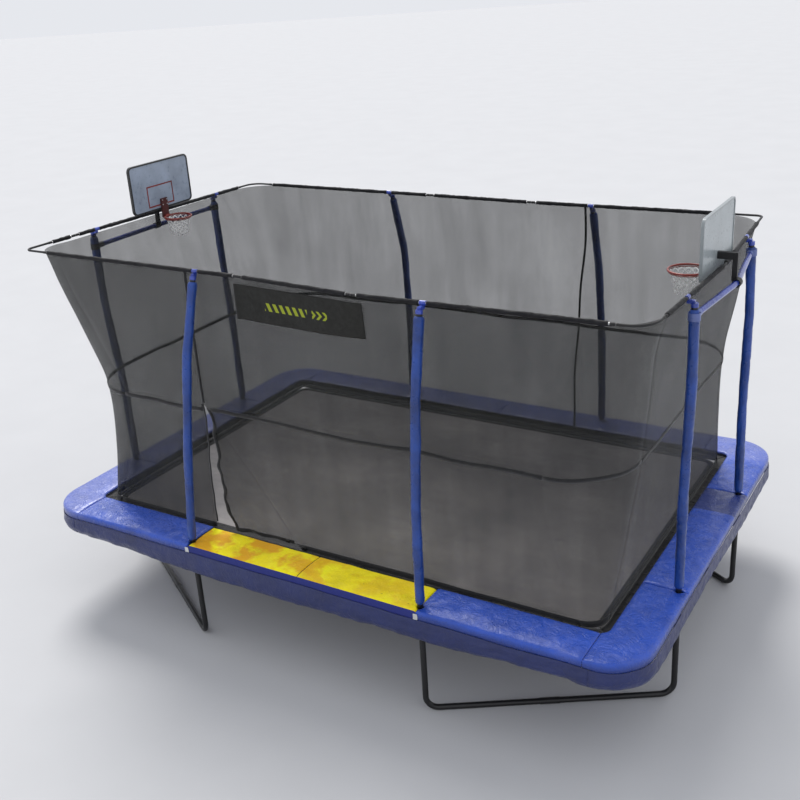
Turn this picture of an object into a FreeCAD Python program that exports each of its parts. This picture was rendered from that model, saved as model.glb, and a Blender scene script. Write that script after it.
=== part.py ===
import FreeCAD, Part
import math
import os

os.makedirs("parts", exist_ok=True)
V = FreeCAD.Vector
UP = V(0, 0, 1)

# ---------------------------------------------------------------- driving dimensions (mm)
# Frame: a 10 ft by 15 ft class rectangle, origin on the floor under its middle.
RAIL_X = 2262.0          # half length, end rail centreline
RAIL_Y = 1502.0          # half width, long rail centreline
RAIL_Z = 765.0           # height of the rail centreline
RAIL_R = 22.5            # rail tube radius
RAIL_WALL = 2.0
CORNER_R = 250.0         # rail corner bend
CORNER_STUB = 60.0       # straight left on each end of a corner bend
FIT = 0.3                # gap between a tube and the sleeve round it
SLEEVE_WALL = 3.0

POLE_X = 949.0           # poles on the long sides stand at +-POLE_X
POLE_Y = 717.0           # poles on the short sides stand at +-POLE_Y
SIDE_Y = 1580.0          # leg and pole line outside the long rails
SIDE_X = 2336.0          # leg and pole line outside the end rails

LEG_R = 20.0             # leg tube radius
POLE_R = 19.0            # enclosure pole tube radius
TUBE_WALL = 1.8
FLOOR_BEND = 90.0        # bend from leg to floor tube
LEG_JOINT_Z = 330.0      # where upright and floor tube plug together
SPIGOT = 60.0            # length of a plug-in end
SOCKET_LOW = 600.0       # bottom of the vertical socket on a rail joint
SOCKET_TOP = 786.0
SOCKET_R = 24.0
SOCKET_MEET = 692.0      # leg upright ends below, pole starts above

RING_X = 2330.0          # nominal half length and half width of the top ring
RING_Y = 1290.0
RING_R = 8.0
SLEEVE_R = 11.0          # fabric sleeve round the ring rods
# the ring is pulled out of square by the net: its corners and rod joints in order
RING_FL = V(-2410, -1360, 2790)
RING_F1 = V(-460, -1300, 2760)
RING_F2 = V(460, -1362, 2752)
RING_FR = V(2292, -1300, 2746)
RING_R1 = V(2318, 0, 2740)
RING_BR = V(2228, 1344, 2736)
RING_B2 = V(460, 1248, 2752)
RING_B1 = V(-460, 1244, 2760)
RING_BL = V(-2348, 1252, 2765)
RING_L1 = V(-2336, -940, 2804)
RING_FRONT = (RING_FL, RING_F1, RING_F2, RING_FR)
RING_BACK = (RING_BL, RING_B1, RING_B2, RING_BR)
RING_LEFT = (RING_FL, RING_L1, RING_BL)
RING_RIGHT = (RING_FR, RING_R1, RING_BR)

# poles: height, x and y of the centreline above the straight foot
POLE_STRAIGHT_Z = 850.0
POLE_BEND_Z = 1500.0
POLE_KINK_Z = 2200.0
POLE_DROP = 42.0         # pole top below the ring
POLES = {
    "front_left": (V(-949, -1580, 0), V(-890, -1556, 0), V(-834, -1486, 0), V(-815, -1340, 0)),
    "front_right": (V(949, -1580, 0), V(949, -1562, 0), V(949, -1492, 0), V(949, -1394, 0)),
    "back_left": (V(-949, 1580, 0), V(-926, 1562, 0), V(-882, 1466, 0), V(-864, 1292, 0)),
    "back_right": (V(949, 1580, 0), V(949, 1562, 0), V(949, 1468, 0), V(949, 1316, 0)),
    "left_front": (V(-2336, -717, 0), V(-2332, -717, 0), V(-2390, -717, 0), V(-2382, -717, 0)),
    "left_back": (V(-2336, 717, 0), V(-2338, 717, 0), V(-2370, 717, 0), V(-2386, 717, 0)),
    "right_front": (V(2336, -717, 0), V(2336, -717, 0), V(2352, -717, 0), V(2346, -717, 0)),
    "right_back": (V(2336, 717, 0), V(2322, 717, 0), V(2324, 717, 0), V(2306, 717, 0)),
}
POLE_SPLIT_Z = 1300.0    # lower and upper pole tubes meet here
POLE_BEND = 900.0
FOAM_R = 32.0
FOAM_BORE = 20.5
FOAM_LOW = 820.0
FOAM_TOP = 2692.0

PAD_LOW = 794.0
PAD_T = 20.0
PAD_IN_X = 2100.0
PAD_IN_Y = 1345.0
PAD_OUT_X = 2400.0
PAD_OUT_Y = 1645.0
PAD_IN_R = 60.0
PAD_OUT_R = 300.0
PAD_GAP = 4.0
PAD_LIP = 14.0           # the cover's edge is turned down over the rail joints
PAD_LIP_LOW = 758.0
SKIRT_LOW = 606.0
SKIRT_TOP = 802.0
SKIRT_T = 2.5
SKIRT_GAP = 2.0

MAT_X = 2035.0
MAT_Y = 1275.0
MAT_R = 110.0
MAT_T = 3.0
WEB_W = 48.0
WEB_T = 3.0
SPRING_PITCH = 120.0
SPRING_R = 10.5
HOOK_R = 2.2
RING_WIRE = 2.5

NET_T = 2.0
# height, half length, half width, corner radius of the net
NET_LEVELS = (
    (790.0, 2045.0, 1305.0, 120.0),
    (1250.0, 2075.0, 1305.0, 330.0),
    (1800.0, 2120.0, 1305.0, 440.0),
    (2250.0, 2200.0, 1300.0, 330.0),
    (2560.0, 2270.0, 1293.0, 260.0),
    (2738.0, 2322.0, 1284.0, 250.0),
)
BAND_Z = 1750.0
BAND_H = 28.0
HEM_H = 42.0

TOP_GAP = 5.0            # between the net's upper edge and the sleeve on the ring
NOTCH_HALF = 27.0        # notch in the net round each pole cap
NOTCH_REACH = 45.0
NOTCH_DEEP = 58.0
RING_LIMIT_X = 2190.0
RING_LIMIT_Y = 1235.0
SEAM_LOW_X = 797.0       # upright seam in the back wall
SEAM_TOP_X = 900.0
SEAM_TOP_Z = 2650.0

ZIP_X = -910.0           # line of the door zip, beside the front left pole
SPLIT_Z = 1786.0         # the zip is open below here
DOOR_END_X = -180.0      # the bottom zip runs to here
DOOR_FOOT_X = -950.0     # foot of the fixed edge
FLAP_FOOT_X = -725.0     # foot of the loose edge
FLAP_LOW = 824.0
FLAP_GAP = 5.0

BOARD_W = 690.0
BOARD_H = 390.0
BOARD_T = 12.0
BOARD_R = 42.0
CROSS_R = 19.0
HOOP_WIRE = 7.0
HOOP_NET_DROP = 130.0
# left and right end: board, cross tube and hoop
ENDS = {
    -1: {"board_x": 2296.0, "board_low": 2812.0, "cross_z": 2660.0, "bow_x": 2400.0,
         "hoop_x": 2150.0, "hoop_z": 2752.0, "hoop_r": 108.0, "arm_low": 20.0},
    1: {"board_x": 2266.0, "board_low": 2706.0, "cross_z": 2636.0, "bow_x": 2400.0,
        "hoop_x": 2094.0, "hoop_z": 2690.0, "hoop_r": 125.0, "arm_low": 74.0},
}


# ---------------------------------------------------------------- shape helpers
def save(name, solids):
    """Write one node; repeats of one piece share a node as separate solids."""
    shape = solids[0] if len(solids) == 1 else Part.makeCompound(solids)
    shape.exportStep("parts/" + name + ".step")


def rod(p, q, r, bore=0.0):
    """Straight round bar or tube from p to q."""
    d = q.sub(p)
    bar = Part.makeCylinder(r, d.Length, p, d)
    if bore > 0:
        bar = bar.cut(Part.makeCylinder(bore, d.Length, p, d))
    return bar.Solids[0]


def bent_wire(points, radius):
    """Path through the points with every inner corner turned at the radius."""
    edges = []
    last = points[0]
    for i in range(1, len(points) - 1):
        here = points[i]
        a = points[i - 1].sub(here).normalize()
        b = points[i + 1].sub(here).normalize()
        half = a.getAngle(b) / 2
        reach = radius / math.tan(half)
        start = here + a * reach
        end = here + b * reach
        middle_dir = (a + b).normalize()
        centre = here + middle_dir * (radius / math.sin(half))
        middle = centre - middle_dir * radius
        edges.append(Part.makeLine(last, start))
        edges.append(Part.Arc(start, middle, end).toShape())
        last = end
    edges.append(Part.makeLine(last, points[-1]))
    return Part.Wire(edges)


def bent_tube(points, radius, r, bore=0.0):
    """Round bar or tube along a bent path."""
    path = bent_wire(points, radius)
    start = points[0]
    along = points[1].sub(start)

    def sweep(size):
        ring = Part.Wire([Part.makeCircle(size, start, along)])
        return path.makePipeShell([ring], True, False)

    bar = sweep(r)
    if bore > 0:
        bar = bar.cut(sweep(bore))
    return bar.Solids[0]


def box(x0, x1, y0, y1, z0, z1):
    return Part.makeBox(x1 - x0, y1 - y0, z1 - z0, V(x0, y0, z0))


def skin(rows, push):
    """Closed thin plate of flat triangles: a grid of points and the same grid moved by push."""
    nr = len(rows)
    nc = len(rows[0])
    faces = []

    def tri(a, b, c):
        faces.append(Part.Face(Part.makePolygon([a, b, c, a])))

    def at(i, j, side):
        return rows[i][j] + push * side

    for i in range(nr - 1):
        for j in range(nc - 1):
            for side in (0, 1):
                a, b = at(i, j, side), at(i, j + 1, side)
                c, d = at(i + 1, j + 1, side), at(i + 1, j, side)
                tri(a, b, c)
                tri(a, c, d)

    def rim(i0, j0, i1, j1):
        a, b = at(i0, j0, 0), at(i1, j1, 0)
        c, d = at(i1, j1, 1), at(i0, j0, 1)
        tri(a, b, c)
        tri(a, c, d)

    for j in range(nc - 1):
        rim(0, j, 0, j + 1)
        rim(nr - 1, j, nr - 1, j + 1)
    for i in range(nr - 1):
        rim(i, 0, i + 1, 0)
        rim(i, nc - 1, i + 1, nc - 1)
    shell = Part.Shell(faces)
    solid = Part.Solid(shell)
    if solid.Volume < 0:
        solid.reverse()
    return solid


def slab(points, z0, height):
    """Flat plate with a polygon outline."""
    pts = [V(x, y, z0) for x, y in points]
    return Part.Face(Part.makePolygon(pts + [pts[0]])).extrude(V(0, 0, height))


def round_rect(half_x, half_y, radius, z0, height):
    """Flat rounded rectangle about the origin."""
    plate = box(-half_x, half_x, -half_y, half_y, z0, z0 + height)
    upright = [e for e in plate.Edges if abs(e.Vertexes[0].Z - e.Vertexes[-1].Z) > height / 2]
    return plate.makeFillet(radius, upright)


def mirror4(make):
    """One solid for each corner quadrant."""
    return [make(sx, sy) for sx in (-1, 1) for sy in (-1, 1)]


# ---------------------------------------------------------------- steel frame
def rails():
    bore = RAIL_R - RAIL_WALL
    half_gap = 0.5
    bend_x = RAIL_X - CORNER_R - CORNER_STUB
    bend_y = RAIL_Y - CORNER_R - CORNER_STUB
    mids = []
    outers = []
    for sy in (-1, 1):
        y = sy * RAIL_Y
        mids.append(rod(V(-POLE_X + half_gap, y, RAIL_Z), V(POLE_X - half_gap, y, RAIL_Z), RAIL_R, bore))
        for sx in (-1, 1):
            a = V(sx * (POLE_X + half_gap), y, RAIL_Z)
            b = V(sx * (bend_x - half_gap), y, RAIL_Z)
            outers.append(rod(a, b, RAIL_R, bore))
    save("long_rail_middles", mids)
    mids = []
    for sx in (-1, 1):
        x = sx * RAIL_X
        mids.append(rod(V(x, -POLE_Y + half_gap, RAIL_Z), V(x, POLE_Y - half_gap, RAIL_Z), RAIL_R, bore))
        for sy in (-1, 1):
            a = V(x, sy * (POLE_Y + half_gap), RAIL_Z)
            b = V(x, sy * (bend_y - half_gap), RAIL_Z)
            outers.append(rod(a, b, RAIL_R, bore))
    save("end_rail_middles", mids)
    save("rail_outers", outers)

    def corner(sx, sy):
        path = [V(sx * bend_x, sy * RAIL_Y, RAIL_Z), V(sx * RAIL_X, sy * RAIL_Y, RAIL_Z),
                V(sx * RAIL_X, sy * bend_y, RAIL_Z)]
        return bent_tube(path, CORNER_R, RAIL_R, bore)

    save("corner_rail_bends", mirror4(corner))

    # short splice sleeves over each rail-to-bend joint
    splices = []
    half = 40.0
    for sx in (-1, 1):
        for sy in (-1, 1):
            a = V(sx * (bend_x - half), sy * RAIL_Y, RAIL_Z)
            b = V(sx * (bend_x + half), sy * RAIL_Y, RAIL_Z)
            splices.append(rod(a, b, RAIL_R + FIT + 2.0, RAIL_R + FIT))
            a = V(sx * RAIL_X, sy * (bend_y - half), RAIL_Z)
            b = V(sx * RAIL_X, sy * (bend_y + half), RAIL_Z)
            splices.append(rod(a, b, RAIL_R + FIT + 2.0, RAIL_R + FIT))
    save("rail_splices", splices)


def stations():
    """Where the eight legs and poles stand: rail point, leg point, rail direction."""
    out = []
    for sx in (-1, 1):
        for sy in (-1, 1):
            out.append((V(sx * POLE_X, sy * RAIL_Y, 0), V(sx * POLE_X, sy * SIDE_Y, 0), V(1, 0, 0)))
    for sx in (-1, 1):
        for sy in (-1, 1):
            out.append((V(sx * RAIL_X, sy * POLE_Y, 0), V(sx * SIDE_X, sy * POLE_Y, 0), V(0, 1, 0)))
    return out


def rail_joints():
    """Sleeve round the rail with an upright socket welded outside it by a web."""
    half = 75.0
    web_t = 8.0
    joints = []
    for rail, leg, along in stations():
        centre = V(rail.x, rail.y, RAIL_Z)
        sleeve = Part.makeCylinder(RAIL_R + FIT + SLEEVE_WALL, 2 * half, centre - along * half, along)
        socket = Part.makeCylinder(SOCKET_R, SOCKET_TOP - SOCKET_LOW, V(leg.x, leg.y, SOCKET_LOW), UP)
        out = leg.sub(rail).normalize()
        span = leg.sub(rail).Length
        web = Part.makeBox(span, web_t, 60.0, V(0, -web_t / 2, 0))
        web.rotate(V(0, 0, 0), UP, math.degrees(math.atan2(out.y, out.x)))
        web.translate(V(rail.x, rail.y, RAIL_Z - 50.0))
        whole = sleeve.fuse(web).fuse(socket)
        whole = whole.cut(Part.makeCylinder(RAIL_R + FIT, 2 * half + 2, centre - along * (half + 1), along))
        whole = whole.cut(Part.makeCylinder(LEG_R + FIT, 400, V(leg.x, leg.y, SOCKET_LOW - 100), UP))
        joints.append(whole.removeSplitter().Solids[0])
    save("rail_joint_sockets", joints)


def legs():
    uprights = []
    for rail, leg, along in stations():
        a = V(leg.x, leg.y, LEG_JOINT_Z)
        b = V(leg.x, leg.y, SOCKET_MEET - 2)
        uprights.append(rod(a, b, LEG_R, LEG_R - TUBE_WALL))
    save("leg_uprights", uprights)

    # Each corner leg's floor tube runs from the long-side foot to the short-side foot.
    halves = []
    sleeves = []
    share = 0.5
    for sx in (-1, 1):
        for sy in (-1, 1):
            p = V(sx * POLE_X, sy * SIDE_Y, LEG_R)
            q = V(sx * SIDE_X, sy * POLE_Y, LEG_R)
            mid = p + (q - p) * share
            step = (q - p).normalize()
            top_p = V(p.x, p.y, LEG_JOINT_Z - 1)
            top_q = V(q.x, q.y, LEG_JOINT_Z - 1)
            for foot, top, end in ((p, top_p, mid - step * 0.5), (q, top_q, mid + step * 0.5)):
                tube = bent_tube([top, foot, end], FLOOR_BEND, LEG_R, LEG_R - TUBE_WALL)
                plug_r = LEG_R - TUBE_WALL - FIT
                low = V(foot.x, foot.y, LEG_JOINT_Z - 30)
                plug = rod(low, V(foot.x, foot.y, LEG_JOINT_Z + SPIGOT), plug_r + FIT, plug_r - TUBE_WALL)
                trim = rod(V(foot.x, foot.y, LEG_JOINT_Z - 1), V(foot.x, foot.y, 500), LEG_R, plug_r)
                halves.append(tube.fuse(plug).cut(trim).Solids[0])
            outer = Part.makeCylinder(LEG_R + FIT + 2.0, 130, mid - step * 65, step)
            inner = Part.makeCylinder(LEG_R + FIT, 132, mid - step * 66, step)
            floor_cut = box(mid.x - 200, mid.x + 200, mid.y - 200, mid.y + 200, -20, 0)
            sleeves.append(outer.cut(inner).cut(floor_cut).Solids[0])
    save("floor_tube_halves", halves)
    save("floor_tube_sleeves", sleeves)


# ---------------------------------------------------------------- enclosure poles and top ring
def on_line(points, value, axis):
    """Point where a run of straight pieces passes a value of x (axis 0) or y (axis 1)."""
    for a, b in zip(points, points[1:]):
        low, high = a[axis], b[axis]
        if low <= value <= high:
            return a + (b - a) * ((value - low) / (high - low))
    raise ValueError("outside the ring")


def pole_paths():
    """Centreline of every pole, its ring point and the ring's direction there."""
    out = []
    for name, spots in POLES.items():
        foot, mid, kink, top = spots
        side, axis = {"front": (RING_FRONT, 0), "back": (RING_BACK, 0), "left": (RING_LEFT, 1),
                      "right": (RING_RIGHT, 1)}[name.split("_")[0]]
        rod_at = on_line(side, top[axis], axis)
        step = 5.0
        along = (on_line(side, top[axis] + step, axis) - rod_at).normalize()
        path = [V(foot.x, foot.y, SOCKET_MEET + 2), V(foot.x, foot.y, POLE_STRAIGHT_Z),
                V(mid.x, mid.y, POLE_BEND_Z), V(kink.x, kink.y, POLE_KINK_Z),
                V(top.x, top.y, rod_at.z - POLE_DROP)]
        out.append((path, rod_at, along))
    return out


def clip_z(shape, low, high):
    big = 4000.0
    kept = shape.common(Part.makeBox(2 * big, 2 * big, high - low, V(-big, -big, low)))
    return kept.Solids[0]


def smooth_path(path):
    """The same path without corners too flat to bend."""
    kept = [path[0]]
    for i in range(1, len(path) - 1):
        a = path[i] - kept[-1]
        b = path[i + 1] - path[i]
        if a.getAngle(b) > 0.004:
            kept.append(path[i])
    return kept + [path[-1]]


def poles():
    lower = []
    upper = []
    spigots = []
    foams = []
    for path, rod_at, along in pole_paths():
        path = smooth_path(path)
        foam_top = path[-1].z - 20
        tube = bent_tube(path, POLE_BEND, POLE_R, POLE_R - TUBE_WALL)
        lower.append(clip_z(tube, 600, POLE_SPLIT_Z - 0.5))
        upper.append(clip_z(tube, POLE_SPLIT_Z + 0.5, 2850))
        core = bent_tube(path, POLE_BEND, POLE_R - TUBE_WALL - FIT)
        spigots.append(clip_z(core, POLE_SPLIT_Z - 60, POLE_SPLIT_Z + 60))
        foam = bent_tube(path, POLE_BEND, FOAM_R, FOAM_BORE)
        foams.append(clip_z(foam, FOAM_LOW, foam_top))
    save("pole_tubes_lower", lower)
    save("pole_tubes_upper", upper)
    save("pole_spigots", spigots)
    save("pole_foam_sleeves", foams)


def pole_tops():
    """Cap on each pole with an arm and a saddle under the ring rod."""
    caps = []
    for path, rod_at, along in pole_paths():
        path = smooth_path(path)
        top = path[-1]
        step = (path[-1] - path[-2]).normalize()
        base = top - step * 10
        cap = Part.makeCylinder(POLE_R + 3, 24, base, step)
        hole = Part.makeCylinder(POLE_R + 1.2, 10.6, base, step)
        saddle = Part.makeCylinder(RING_R + 6, 40, rod_at - along * 20, along)
        out = V(top.x - rod_at.x, top.y - rod_at.y, 0)
        span = out.Length + 4
        arm = Part.makeBox(span, 22, 22, V(0, -11, 0))
        arm.rotate(V(0, 0, 0), UP, math.degrees(math.atan2(out.y, out.x)))
        arm.translate(V(rod_at.x, rod_at.y, top.z + 8))
        body = cap.fuse(saddle).fuse(arm)
        body = body.cut(Part.makeCylinder(RING_R + FIT, 80, rod_at - along * 40, along))
        body = body.cut(hole)
        caps.append(body.removeSplitter().Solids[0])
    save("pole_top_caps", caps)


def ring_corner(before, at, after, radius, stub):
    """Bent rod round one ring corner, and its two ends."""
    a = at + (before - at).normalize() * stub
    b = at + (after - at).normalize() * stub
    gap = 0.5
    start = a + (at - a).normalize() * gap
    end = b + (at - b).normalize() * gap
    return bent_tube([start, at, end], radius, RING_R), a, b


def ring():
    gap = 0.5
    joint_half = 35.0
    stub = 190.0
    corners = {}
    bends = []
    for name, before, at, after, radius in (
            ("fl", RING_L1, RING_FL, RING_F1, 45.0), ("fr", RING_F2, RING_FR, RING_R1, 150.0),
            ("br", RING_R1, RING_BR, RING_B2, 45.0), ("bl", RING_B1, RING_BL, RING_L1, 110.0)):
        bend, a, b = ring_corner(before, at, after, radius, stub)
        bends.append(bend)
        corners[name] = (a, b)
    save("ring_corner_rods", bends)

    # straight rods, each with its two ends, side by side
    sides = [[corners["fl"][1], RING_F1, RING_F2, corners["fr"][0]],
             [corners["fr"][1], RING_R1, corners["br"][0]],
             [corners["bl"][0], RING_B1, RING_B2, corners["br"][1]],
             [corners["fl"][0], RING_L1, corners["bl"][1]]]
    rods = []
    splices = []
    sleeves = []
    bore = RING_R + FIT + 1.5
    cap_gap = 26.0
    splice_gap = 42.0
    saddles = [rod_at for path, rod_at, along in pole_paths()]
    for stops in sides:
        for a, b in zip(stops, stops[1:]):
            step = (b - a).normalize()
            length = (b - a).Length
            rods.append(rod(a + step * gap, b - step * gap, RING_R))
            # the fabric sleeve, open at the poles and at the rod joints
            marks = [(0.0, splice_gap), (length, splice_gap)]
            for spot in saddles:
                t = (spot - a).dot(step)
                if 0 < t < length and (a + step * t - spot).Length < 2:
                    marks.append((t, cap_gap))
            marks.sort()
            for (t0, g0), (t1, g1) in zip(marks, marks[1:]):
                sleeves.append(rod(a + step * (t0 + g0), a + step * (t1 - g1), SLEEVE_R, bore))
            first = a + step * (gap + 0.5)
            splices.append(rod(first, a + step * joint_half, RING_R + FIT + 1.2, RING_R + FIT))
            last = b - step * (gap + 0.5)
            splices.append(rod(b - step * joint_half, last, RING_R + FIT + 1.2, RING_R + FIT))
    save("ring_rods", rods)
    save("ring_splices", splices)
    save("net_top_sleeves", sleeves)


# ---------------------------------------------------------------- mat, springs and pad
def mat():
    low = RAIL_Z - MAT_T / 2
    save("jumping_mat", [round_rect(MAT_X, MAT_Y, MAT_R, low, MAT_T)])
    outer = round_rect(MAT_X - 6, MAT_Y - 6, MAT_R - 6, low + MAT_T, WEB_T)
    inner = round_rect(MAT_X - 6 - WEB_W, MAT_Y - 6 - WEB_W, MAT_R - 60, low + MAT_T - 1, WEB_T + 2)
    save("mat_edge_webbing", [outer.cut(inner).Solids[0]])


def spring_rows():
    """Turn and place of each spring about the mat."""
    out = []
    n = int((MAT_X - MAT_R) // SPRING_PITCH)
    for i in range(-n, n + 1):
        out.append((0, V(i * SPRING_PITCH, MAT_Y, RAIL_Z)))
        out.append((180, V(i * SPRING_PITCH, -MAT_Y, RAIL_Z)))
    m = int((MAT_Y - MAT_R) // SPRING_PITCH)
    for i in range(-m, m + 1):
        out.append((-90, V(MAT_X, i * SPRING_PITCH, RAIL_Z)))
        out.append((90, V(-MAT_X, i * SPRING_PITCH, RAIL_Z)))
    return out


def springs():
    """Coil bodies with straight hook wires, and the mat's wire rings they pull on."""
    ring_out = 26.0
    ring_half = 16.0
    hook_start = ring_out + 3.0
    coil_start = hook_start + 16
    rail_face = RAIL_Y - RAIL_R - MAT_Y
    coil_end = rail_face - 12

    coil = rod(V(0, coil_start, 0), V(0, coil_end, 0), SPRING_R)
    hooks = rod(V(0, hook_start, 0), V(0, rail_face - 6.0, 0), HOOK_R)
    spring = coil.fuse(hooks).Solids[0]

    foot_y = RING_WIRE + 0.5
    corners = [V(-ring_half, foot_y, 0), V(ring_half, foot_y, 0), V(0, ring_out - RING_WIRE, 0)]
    wire_ring = Part.makeSphere(RING_WIRE, corners[0])
    for a, b in zip(corners, corners[1:] + corners[:1]):
        wire_ring = wire_ring.fuse(rod(a, b, RING_WIRE)).fuse(Part.makeSphere(RING_WIRE, b))
    wire_ring = wire_ring.Solids[0]

    springs_out = []
    rings_out = []
    for turn, place in spring_rows():
        spot = FreeCAD.Placement(place, FreeCAD.Rotation(UP, turn))
        for template, group in ((spring, springs_out), (wire_ring, rings_out)):
            piece = template.copy()
            piece.Placement = spot
            group.append(piece)
    save("springs", springs_out)
    save("mat_wire_rings", rings_out)


def pad_ring():
    outer = round_rect(PAD_OUT_X, PAD_OUT_Y, PAD_OUT_R, PAD_LOW, PAD_T)
    inner = round_rect(PAD_IN_X, PAD_IN_Y, PAD_IN_R, PAD_LOW - 1, PAD_T + 2)
    whole = outer.cut(inner)
    lip_h = PAD_LOW - PAD_LIP_LOW + 2
    lip = round_rect(PAD_OUT_X, PAD_OUT_Y, PAD_OUT_R, PAD_LIP_LOW, lip_h)
    core = round_rect(PAD_OUT_X - PAD_LIP, PAD_OUT_Y - PAD_LIP, PAD_OUT_R - PAD_LIP, PAD_LIP_LOW - 1, lip_h + 2)
    whole = whole.fuse(lip.cut(core))
    for rail, leg, along in stations():
        whole = whole.cut(Part.makeCylinder(POLE_R + 4, 60, V(leg.x, leg.y, PAD_LOW - 20), UP))
    return whole


def pads():
    """The foam pad in sections; each joint is a straight cut across the pad."""
    whole = pad_ring()
    far = 3000.0
    g = PAD_GAP / 2
    front_joint = -PAD_IN_Y - 0.1
    z0, z1 = PAD_LIP_LOW - 5, PAD_LOW + PAD_T + 5
    left_cut = -2060.0
    right_cut = 2060.0
    back_left_cut = -2020.0

    def part(boxes):
        region = boxes[0]
        for extra in boxes[1:]:
            region = region.fuse(extra)
        return [whole.common(region).removeSplitter().Solids[0]]

    save("pad_front_left", part([box(left_cut + g, -POLE_X - g, -far, front_joint + 400, z0, z1)]))
    save("pad_entrance", part([box(-POLE_X + g, POLE_X - g, -far, front_joint + 400, z0, z1)]))
    save("pad_front_right", part([box(POLE_X + g, right_cut - g, -far, front_joint + 400, z0, z1)]))
    save("pad_right", part([box(1500, far, -POLE_Y + g, POLE_Y - g, z0, z1)]))
    save("pad_left", part([box(-far, -1500, -POLE_Y + g, POLE_Y - g, z0, z1)]))
    save("pad_back_right", part([box(60 + g, 1900 - g, 900, far, z0, z1)]))
    save("pad_back_left", part([box(back_left_cut + g, 60 - g, 900, far, z0, z1)]))
    corners = part([box(right_cut + g, far, -far, -POLE_Y - g, z0, z1)])
    corners += part([box(1900 + g, far, POLE_Y + g, far, z0, z1)])
    corners += part([box(-far, back_left_cut - g, POLE_Y + g, far, z0, z1)])
    corners += part([box(-far, left_cut - g, -far, -POLE_Y - g, z0, z1)])
    save("pad_corner_sections", corners)


def skirts():
    """Cloth skirt hanging from the pad's outer edge, in sides and corners."""
    out_x = PAD_OUT_X + SKIRT_GAP
    out_y = PAD_OUT_Y + SKIRT_GAP
    radius = PAD_OUT_R + SKIRT_GAP
    height = SKIRT_TOP - SKIRT_LOW
    outer = round_rect(out_x + SKIRT_T, out_y + SKIRT_T, radius + SKIRT_T, SKIRT_LOW, height)
    inner = round_rect(out_x, out_y, radius, SKIRT_LOW - 1, height + 2)
    shell = outer.cut(inner)
    far = 3000.0
    flat_x = out_x - radius - 1
    flat_y = out_y - radius - 1
    z0, z1 = SKIRT_LOW - 5, SKIRT_TOP + 5
    front = shell.common(box(-flat_x, flat_x, -far, 0, z0, z1)).Solids[0]
    back = shell.common(box(-flat_x, flat_x, 0, far, z0, z1)).Solids[0]
    save("skirt_long_sides", [front, back])
    left = shell.common(box(-far, 0, -flat_y, flat_y, z0, z1)).Solids[0]
    right = shell.common(box(0, far, -flat_y, flat_y, z0, z1)).Solids[0]
    save("skirt_short_sides", [left, right])

    def corner(sx, sy):
        a, b = sorted((sx * (flat_x + 1), sx * far))
        c, d = sorted((sy * (flat_y + 1), sy * far))
        return shell.common(box(a, b, c, d, z0, z1)).Solids[0]

    save("skirt_corners", mirror4(corner))


# ---------------------------------------------------------------- net
def net_size(z):
    """Half length, half width and corner radius of the net at a height."""
    low = NET_LEVELS[0]
    for high in NET_LEVELS[1:]:
        if z <= high[0]:
            t = (z - low[0]) / (high[0] - low[0])
            return [low[k] + t * (high[k] - low[k]) for k in (1, 2, 3)]
        low = high
    return list(low[1:])


def pulled(x, y, z):
    """The net's upper part is pulled to the out-of-square ring."""
    low = NET_LEVELS[2][0]
    high = NET_LEVELS[-1][0]
    share = min(max((z - low) / (high - low), 0.0), 1.0)
    front = on_line(RING_FRONT, min(max(x, -2280.0), 2280.0), 0).y + RING_Y
    back = on_line(RING_BACK, min(max(x, -2200.0), 2200.0), 0).y - RING_Y
    left = on_line(RING_LEFT, min(max(y, -1240.0), 1240.0), 1).x + RING_X
    right = on_line(RING_RIGHT, min(max(y, -1240.0), 1240.0), 1).x - RING_X
    near = 1400.0
    to_left = min(max((-x - near) / (RING_X - near), 0.0), 1.0)
    to_right = min(max((x - near) / (RING_X - near), 0.0), 1.0)
    fy = min(max((y + RING_Y) / (2 * RING_Y), 0.0), 1.0)
    return V(x + share * (to_left * left + to_right * right), y + share * ((1 - fy) * front + fy * back), z)


def under_ring(p):
    """The same point, brought down to just below the ring's fabric sleeve."""
    long_side = RING_FRONT if p.y < 0 else RING_BACK
    short_side = RING_LEFT if p.x < 0 else RING_RIGHT
    over_long = on_line(long_side, max(min(p.x, RING_LIMIT_X), -RING_LIMIT_X), 0).z
    over_short = on_line(short_side, max(min(p.y, RING_LIMIT_Y), -RING_LIMIT_Y), 1).z
    height = min(over_long, over_short)
    if abs(p.x) < RING_LIMIT_X and abs(p.y) >= RING_LIMIT_Y:
        height = over_long
    elif abs(p.y) < RING_LIMIT_Y:
        height = over_short
    return V(p.x, p.y, height - SLEEVE_R - TOP_GAP)


def pole_notches():
    """Boxes round the caps, where the net is cut out below the ring."""
    boxes = []
    for path, rod_at, along in pole_paths():
        block = Part.makeBox(2 * NOTCH_HALF, 2 * NOTCH_REACH, NOTCH_DEEP + 40)
        block.translate(V(rod_at.x - NOTCH_HALF, rod_at.y - NOTCH_REACH, rod_at.z - NOTCH_DEEP))
        if abs(rod_at.x) > POLE_X * 2:
            block = Part.makeBox(2 * NOTCH_REACH, 2 * NOTCH_HALF, NOTCH_DEEP + 40)
            block.translate(V(rod_at.x - NOTCH_REACH, rod_at.y - NOTCH_HALF, rod_at.z - NOTCH_DEEP))
        boxes.append(block)
    return boxes


def corner_line(z, sx, sy, out=0.0):
    """Corner of the net at a height: arc start on the long wall, two between, end on the short wall."""
    hx, hy, r = net_size(z)
    cx, cy = hx - r, hy - r
    pts = []
    for deg in (90, 60, 30, 0):
        a = math.radians(deg)
        pts.append(pulled(sx * (cx + (r + out) * math.cos(a)), sy * (cy + (r + out) * math.sin(a)), z))
    return pts


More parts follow.
